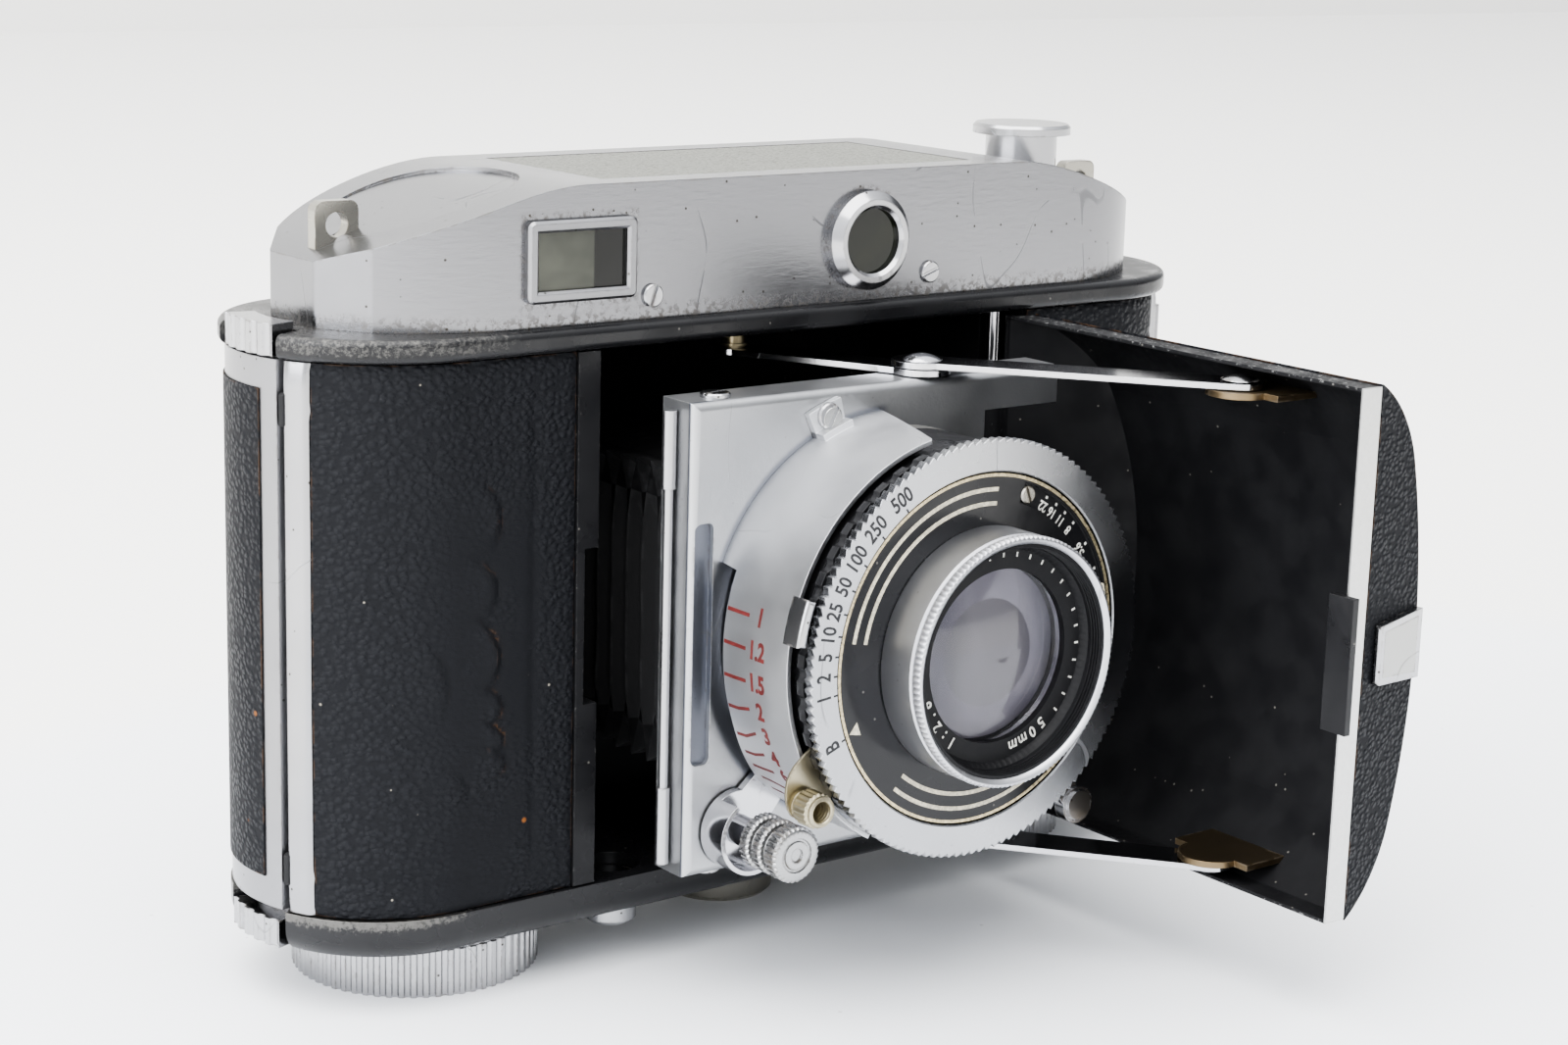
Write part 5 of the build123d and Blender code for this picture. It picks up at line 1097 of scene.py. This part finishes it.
# what each figure says, and its angle round the lens
APERTURE_MARKS = (("22", 59.5), ("16", 54.0), ("11", 48.6), ("8", 42.8), ("5.6", 32.6), ("4", 22.0))
SPEED_MARKS = (
    ("B", 201.0), ("1", 186.0), ("2", 180.0), ("5", 174.0), ("10", 167.8), ("25", 161.0),
    ("50", 153.6), ("100", 145.2), ("250", 135.0), ("500", 123.4),
)


def build_speed_marks():
    """Numerals read clockwise, feet towards the lens, each with a tick at the ring's inner edge."""
    figure_radius, tick_in, tick_out, half_tick = 20.6 * MM, 19.0 * MM, 19.45 * MM, 0.3
    tick_back, tick_front = RING_FRONT + 0.01 * MM, RING_FRONT - 0.015 * MM
    entries = []
    ticks = []
    for text, angle in SPEED_MARKS:
        out, clockwise = compass(angle)
        entries.append((text, 1.75 * MM, around(figure_radius, angle, RING_FRONT), clockwise, out))
        start, end = angle - half_tick, angle + half_tick
        ticks.append(arc_strip(tick_in, tick_out, start, end, tick_back, tick_front, 3))
    lettering("speed_numerals", entries, black_ink, "speed_ring", 0.78)
    mesh_piece("speed_ticks", *joined(ticks), black_ink, "speed_ring")


def build_face_lines():
    """Raised lines on the black face plate, its gilt rim, the index triangle and the aperture numerals."""
    line_back, line_front = FACE_FRONT + 0.02 * MM, FACE_FRONT - 0.05 * MM
    arcs = [
        arc_strip(radius - 0.22 * MM, radius + 0.22 * MM, start, end, line_back, line_front)
        for radius, start, end in (
            (17.0 * MM, 84.0, 170.0), (15.5 * MM, 84.0, 170.0),
            (17.1 * MM, 231.0, 297.0), (15.5 * MM, 231.0, 279.0),
        )
    ]
    mesh_piece("face_lines", *joined(arcs), cream_ink, "shutter_unit")
    rim_out, rim_in = FACE_RADIUS - 0.02 * MM, FACE_RADIUS - 0.36 * MM
    rim = [(rim_in, line_back, 0), (rim_in, line_front, 0), (rim_out, line_front, 0), (rim_out, line_back, 0)]
    mesh_piece("face_rim_line", *lathe(rim, 160), gilt_line, "shutter_unit")
    triangle = ((18.15 * MM, 201.0), (16.9 * MM, 198.4), (16.9 * MM, 203.6))
    index = prism(*[[around(*corner, depth) for corner in triangle] for depth in (line_front, line_back)])
    mesh_piece("speed_index", *index, cream_ink, "shutter_unit")
    window = FACE_FRONT + 0.35 * MM
    entries = []
    dots = []
    for text, angle in APERTURE_MARKS:
        out, clockwise = compass(angle)
        entries.append((text, 1.1 * MM, around(16.6 * MM, angle, window), -clockwise, -out))
        dots.append(arc_strip(17.45 * MM, 17.75 * MM, angle - 0.5, angle + 0.5, window + 0.01 * MM,
                              window - 0.02 * MM, 3))
    lettering("aperture_numerals", entries, white_ink, "shutter_unit", 0.8)
    mesh_piece("aperture_dots", *joined(dots), white_ink, "shutter_unit")


def slotted_screw(name, centre, radius, height, slot_angle, body, finish):
    """Screw head facing the subject, with rounded edge and a sawn slot."""
    steps = 40
    slot_half = 0.16 * radius
    slot_floor = 0.35 * height
    levels = ((1.0, 0.0), (1.0, 0.65), (0.86, 1.0))     # share of the radius and of the height
    along, clockwise = compass(slot_angle)
    across = -clockwise
    limit = math.asin(slot_half / radius)
    shapes = []
    for side in (-1, 1):
        rim = []
        for i in range(steps // 2 + 1):
            angle = limit + (math.pi - 2 * limit) * i / (steps // 2)
            rim.append(along * math.cos(angle) + across * side * math.sin(angle))
        verts = []
        for scale, level in levels:
            for direction in rim:
                flat = direction * radius * scale
                if abs(flat.dot(across)) < slot_half:
                    flat += across * (side * slot_half - flat.dot(across))
                verts.append(centre + flat + Vector((0, -height * level, 0)))
        count = len(rim)
        faces = [tuple(range(count)), tuple(range(3 * count - 1, 2 * count - 1, -1))]
        for start in (0, count):
            for i in range(count):
                j = (i + 1) % count
                faces.append((start + i, start + j, start + count + j, start + count + i))
        shapes.append((verts, faces))
    floor = [around(radius * 0.9, 360.0 * i / steps, centre.y, centre) for i in range(steps)]
    shapes.append(prism(floor, [point + Vector((0, -slot_floor, 0)) for point in floor]))
    return mesh_piece(name, *joined(shapes), finish, body)


build_speed_ring()
build_speed_marks()
build_face_lines()
face_screw_place = around(16.9 * MM, 69.6, FACE_FRONT + 0.3 * MM)
slotted_screw("face_screw", face_screw_place, 0.95 * MM, 0.55 * MM, 110.0, "shutter_unit", worn_nickel)


# ---------------------------------------------------------------- lens
def build_lens():
    low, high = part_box("lens_barrel")
    radius = (high.x - low.x) / 2
    back, front = high.y, low.y
    bore = radius - 0.9 * MM
    profile = [(bore, back, 0)] + profile_at(bore, front, (0, 0.5, 0), (0.25, 0.12, 0))
    profile += profile_at(radius, front, (-0.42, 0, 0), (-0.12, 0.10, 0.16), (0, 0.30, 0.26), (0, 1.05, 0.26))
    profile += profile_at(radius, front, (-0.18, 1.2, 0), (-0.22, 1.45, 0), (-0.05, 1.6, 0))
    profile += profile_at(radius, back, (-0.05, -0.2, 0), (-0.2, 0, 0))
    ribs = 132
    shape = lathe(profile, ribs * 4, wave=(0.0, 0.3, 1.0, 0.3))
    mesh_piece("milled_lens_rim", *shape, barrel_chrome, "shutter_unit", ("lens_barrel",), "lens_barrel")

    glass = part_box("front_lens")
    glass_radius = (glass[1].x - glass[0].x) / 2
    cone = profile_at(bore, front, (0, 0.6, 0), (-0.35, 0.55, 0))
    grooves = 4
    for i in range(grooves):
        # fine steps turned into the cone against stray light
        share = i / grooves
        narrower, deeper = 0.10 * share, 1.5 * share
        crest, valley = (-0.36 - narrower, 0.7 + deeper, 0), (-0.46 - narrower, 0.75 + deeper, 0)
        cone += profile_at(bore, front, crest, valley)
    # the ribbed wall, then the flat ring that carries the letters
    cone += profile_at(0.0, front, (11.8, 2.3, 0), (11.5, 2.7, 0.16), (11.25, 3.1, 0))
    cone += profile_at(glass_radius, front, (0.05, 3.2, 0), (0.05, 5.0, 0))
    cone += profile_at(bore, front, (0, 5.0, 0))
    wall_ribs = 96
    shape = lathe(cone, wall_ribs * 3, wave=(0.0, 0.6, 1.0))
    mesh_piece("stepped_lens_cone", *shape, cone_black, "shutter_unit", ("name_ring",), "name_ring")

    element_radius = 8.9 * MM
    rim_y, bulge, element_back = FACE_FRONT + 0.55 * MM, 0.9 * MM, FACE_FRONT + 1.6 * MM
    rings = 10
    shares = [i / rings for i in range(rings + 1)]
    element = [(element_radius * share, rim_y - bulge * (1 - share ** 2), 0) for share in shares]
    element += [(element_radius, element_back, 0), (0.0, element_back, 0)]
    shape = lathe(element, 72)
    mesh_piece("inner_lens_element", *shape, hazed_glass(), "shutter_unit")


def build_lens_marks():
    """White dots and the focal length on the black ring round the glass."""
    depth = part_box("lens_barrel")[0].y + 3.06 * MM
    letter_step = 8.0
    entries = []
    for text, start in (("50mm", 292.0), ("1:2.8", 214.0)):
        for i, letter in enumerate(text):
            angle = start - (i - len(text) / 2) * letter_step
            out, clockwise = compass(angle)
            entries.append((letter, 1.3 * MM, around(10.25 * MM, angle, depth), clockwise, out))
    lettering("lens_numerals", entries, white_ink, "shutter_unit", 0.9)
    dot_in, dot_out, half_dot, lift = 10.55 * MM, 11.05 * MM, 0.55, 0.02 * MM
    dots = [
        arc_strip(dot_in, dot_out, angle - half_dot, angle + half_dot, depth + lift, depth - lift, 3)
        for angle in range(-40, 190, 10)
    ]
    mesh_piece("lens_dots", *joined(dots), white_ink, "shutter_unit")


cone_black = dark_inside("cone_black", (0.008, 0.008, 0.009), 0.50)
build_lens()
build_lens_marks()


# ---------------------------------------------------------------- distance scale
BAND_START = 91.0                   # angles round the lens, anticlockwise from +X
BAND_TIP_END = 101.5
BAND_NOTCH = 158.5
BAND_LIFTS_FROM, BAND_LIFTS_TO = 196.0, 234.0
BAND_END = 240.0
BAND_TIP_CUT = 13.2 * MM
BAND_RADIUS = 22.1 * MM
BAND_THICKNESS = 0.5 * MM
CLIP_START, CLIP_END = 105.0, 115.0


def band_front(angle, front):
    """Front edge of the band: straight, but cut away obliquely at its tip."""
    share = (BAND_TIP_END - angle) / (BAND_TIP_END - BAND_START)
    return front + BAND_TIP_CUT * max(0.0, min(1.0, share))


def band_back(angle, plate, scale_back):
    """Back edge: on the standard along the wide half, stepped away from it behind the scale."""
    if angle < BAND_NOTCH:
        return plate - 0.02 * MM
    return scale_back + (plate - scale_back) * 0.75 * smooth(BAND_LIFTS_FROM, BAND_LIFTS_TO, angle)


def build_distance_scale():
    low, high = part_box("distance_scale")
    plate, front = high.y, low.y
    outer_radius = BAND_RADIUS + BAND_THICKNESS
    scale_back = -30.8 * MM
    steps = 190
    rows = 5

    def at(i, j, radius):
        angle = BAND_START + (BAND_END - BAND_START) * i / (steps - 1)
        back = band_back(angle, plate, scale_back)
        lead = min(band_front(angle, front), back - 0.4 * MM)
        return around(radius, angle, back + (lead - back) * j / (rows - 1))

    band = sheet_solid(steps, rows, lambda i, j: at(i, j, outer_radius), lambda i, j: at(i, j, BAND_RADIUS))
    foot, knee = [
        arc_strip(BAND_RADIUS + inset, reach, CLIP_START, CLIP_END, plate - 0.05 * MM, plate - height, 9)
        for inset, reach, height in ((0.3 * MM, 25.6 * MM, 0.85 * MM), (0.2 * MM, 23.3 * MM, 2.2 * MM))
    ]
    mesh_piece("distance_band", *joined([band, foot, knee]), band_chrome, "lens_standard",
               ("distance_scale",), "distance_scale")
    build_distance_marks(outer_radius, scale_back)


# what each figure says, its angle round the lens, and the angle at the foot of its line
DISTANCE_MARKS = (
    ("1", 168.8, 168.8), ("1.2", 177.6, 177.6), ("1.5", 186.4, 186.6), ("2", 194.4, 195.6),
    ("3", 201.8, 204.4), ("4", 208.8, 210.6), ("6", 215.2, 215.6), ("10", 221.6, 220.6), ("8", 229.0, 225.6),
)


def build_distance_marks(radius, back):
    """Red numerals round the band, read towards the subject, each with a line from the back edge."""
    outward = radius + 0.012 * MM
    forward = Vector((0, -1, 0))
    line_length = 3.7 * MM
    entries = []
    lines = []
    for text, angle, foot_angle in DISTANCE_MARKS:
        out, clockwise = compass(angle)
        # the last mark is an 8 on its side, for infinity
        reading, up = (clockwise, forward) if text == "8" else (forward, -clockwise)
        # numerals face outwards, so that reading x up points away from the axis
        if reading.cross(up).dot(out) < 0:
            up = -up
        entries.append((text, 1.95 * MM, around(outward, angle, back - 5.7 * MM), reading, up))

        def stripe(i, j, at_radius, start=foot_angle, end=angle):
            share = (0.0, 0.45, 1.0)[i]
            bearing = start + (end - start) * smooth(0.3, 1.0, share) + (j - 0.5) * 1.0
            return around(at_radius, bearing, back - 0.15 * MM - share * line_length)

        lines.append(sheet_solid(
            3, 2,
            lambda i, j, line=stripe: line(i, j, outward + 0.01 * MM),
            lambda i, j, line=stripe: line(i, j, radius - 0.03 * MM),
        ))
    lettering("distance_numerals", entries, red_ink, "lens_standard", 0.82, 0.045)
    mesh_piece("distance_lines", *joined(lines), red_ink, "lens_standard")


screw_steel = bare_metal("screw_steel", (0.50, 0.50, 0.49), 0.24, grime=0.8, pits=0.3)
band_chrome = bare_metal("band_chrome", (0.70, 0.705, 0.72), 0.44, grain=0.05, grime=0.08,
                         brushed=(1.0, 0.06, 1.0), pits=0.0, turned=0.7)
build_distance_scale()
clip_screw_place = around(24.0 * MM, 109.5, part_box("distance_scale")[1].y - 0.85 * MM)
slotted_screw("band_clip_screw", clip_screw_place, 1.35 * MM, 0.6 * MM, 62.0, "lens_standard", screw_steel)


# ---------------------------------------------------------------- focusing knob and cable socket
def build_focus_knob():
    """Three milled tiers on a stem, with a ring turned into the front face."""
    low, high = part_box("focus_knob")
    centre = middle("focus_knob")
    radius = (high.x - low.x) / 2
    neck = radius - 0.65 * MM
    back, front = high.y, low.y
    length = back - front
    profile = [(0.0, back, 0), (neck, back, 0)]
    tooth = 0.22                        # millimetres
    for start, end in ((0.0, 0.26), (0.34, 0.59), (0.67, 1.0)):
        near, far = back - length * start, back - length * end
        profile += [(neck, near - 0.05 * MM, 0)]
        profile += profile_at(radius, near, (-0.2, -0.1, tooth * 0.5), (0, -0.3, tooth))
        profile += profile_at(radius, far, (0, 0.3, tooth), (-0.2, 0.1, tooth * 0.5))
        if end < 1.0:
            profile.append((neck, far + 0.02 * MM, 0))
    profile.append((radius - 0.5 * MM, front, 0))
    profile += profile_at(0.0, front, (1.85, 0, 0), (1.80, 0.18, 0), (1.55, 0.18, 0), (1.50, 0, 0))
    profile += profile_at(0.0, front, (0.75, 0, 0), (0.70, 0.25, 0), (0, 0.25, 0))
    grooves = 30
    shape = lathe(profile, grooves * 6, centre, (0.0, 0.0, 0.5, 1.0, 0.5, 0.0))
    mesh_piece("milled_focus_knob", *shape, knob_chrome, "focus_ring", ("focus_knob",), "focus_knob")


# the cable socket's arm: points of its outline, as a radius in mm and an angle round the lens
HORN = (
    (19.2, 202.0), (21.2, 202.4), (22.8, 203.5), (23.8, 204.2), (24.6, 205.2), (25.2, 206.3), (25.6, 207.5),
    (26.1, 209.2), (26.4, 211.0), (26.6, 212.8), (26.6, 214.5), (26.2, 216.5), (25.5, 218.2), (24.6, 219.1),
    (23.4, 219.5), (19.2, 219.0),
)


def build_cable_socket():
    """Nickelled arm from under the collar, and a milled socket with its threaded hole."""
    low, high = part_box("cable_socket")
    socket_radius = 24.8 * MM
    angle = 214.5
    centre = around(socket_radius, angle, 0.0)
    front = low.y
    back = front + 3.4 * MM
    hole = 1.1 * MM
    rim = 1.9 * MM
    profile = [(0.0, back, 0)]
    profile += profile_at(rim, back, (-0.35, 0, 0), (-0.35, -0.7, 0), (0, -0.85, 0.16))
    profile += profile_at(rim, front, (0, 0.7, 0.16), (-0.3, 0.5, 0), (-0.3, 0.1, 0))
    profile += profile_at(hole, front, (0.15, 0, 0), (0, 0.15, 0))
    pitch = 0.42
    for turn in range(5):
        # threads inside the hole
        profile += profile_at(hole, front, (0.10, 0.35 + pitch * turn, 0), (0, 0.55 + pitch * turn, 0))
    profile += [(hole, front + 2.6 * MM, 0), (0.0, front + 2.6 * MM, 0)]
    teeth = 20
    socket = lathe(profile, teeth * 4, centre, (0.0, 0.5, 1.0, 0.5))

    depths = (high.y, high.y - 0.3 * MM)
    arm = prism(*[[around(radius * MM, bearing, depth) for radius, bearing in HORN] for depth in depths])
    mesh_piece("milled_cable_socket", *joined([socket, arm]), socket_nickel, "shutter_unit",
               ("cable_socket",), "cable_socket")


knob_chrome = bare_metal("knob_chrome", (0.38, 0.38, 0.38), 0.24, grime=0.9, pits=0.2)
socket_nickel = bare_metal("socket_nickel", (0.40, 0.36, 0.26), 0.32, grime=0.9, pits=0.5)
build_focus_knob()
build_cable_socket()
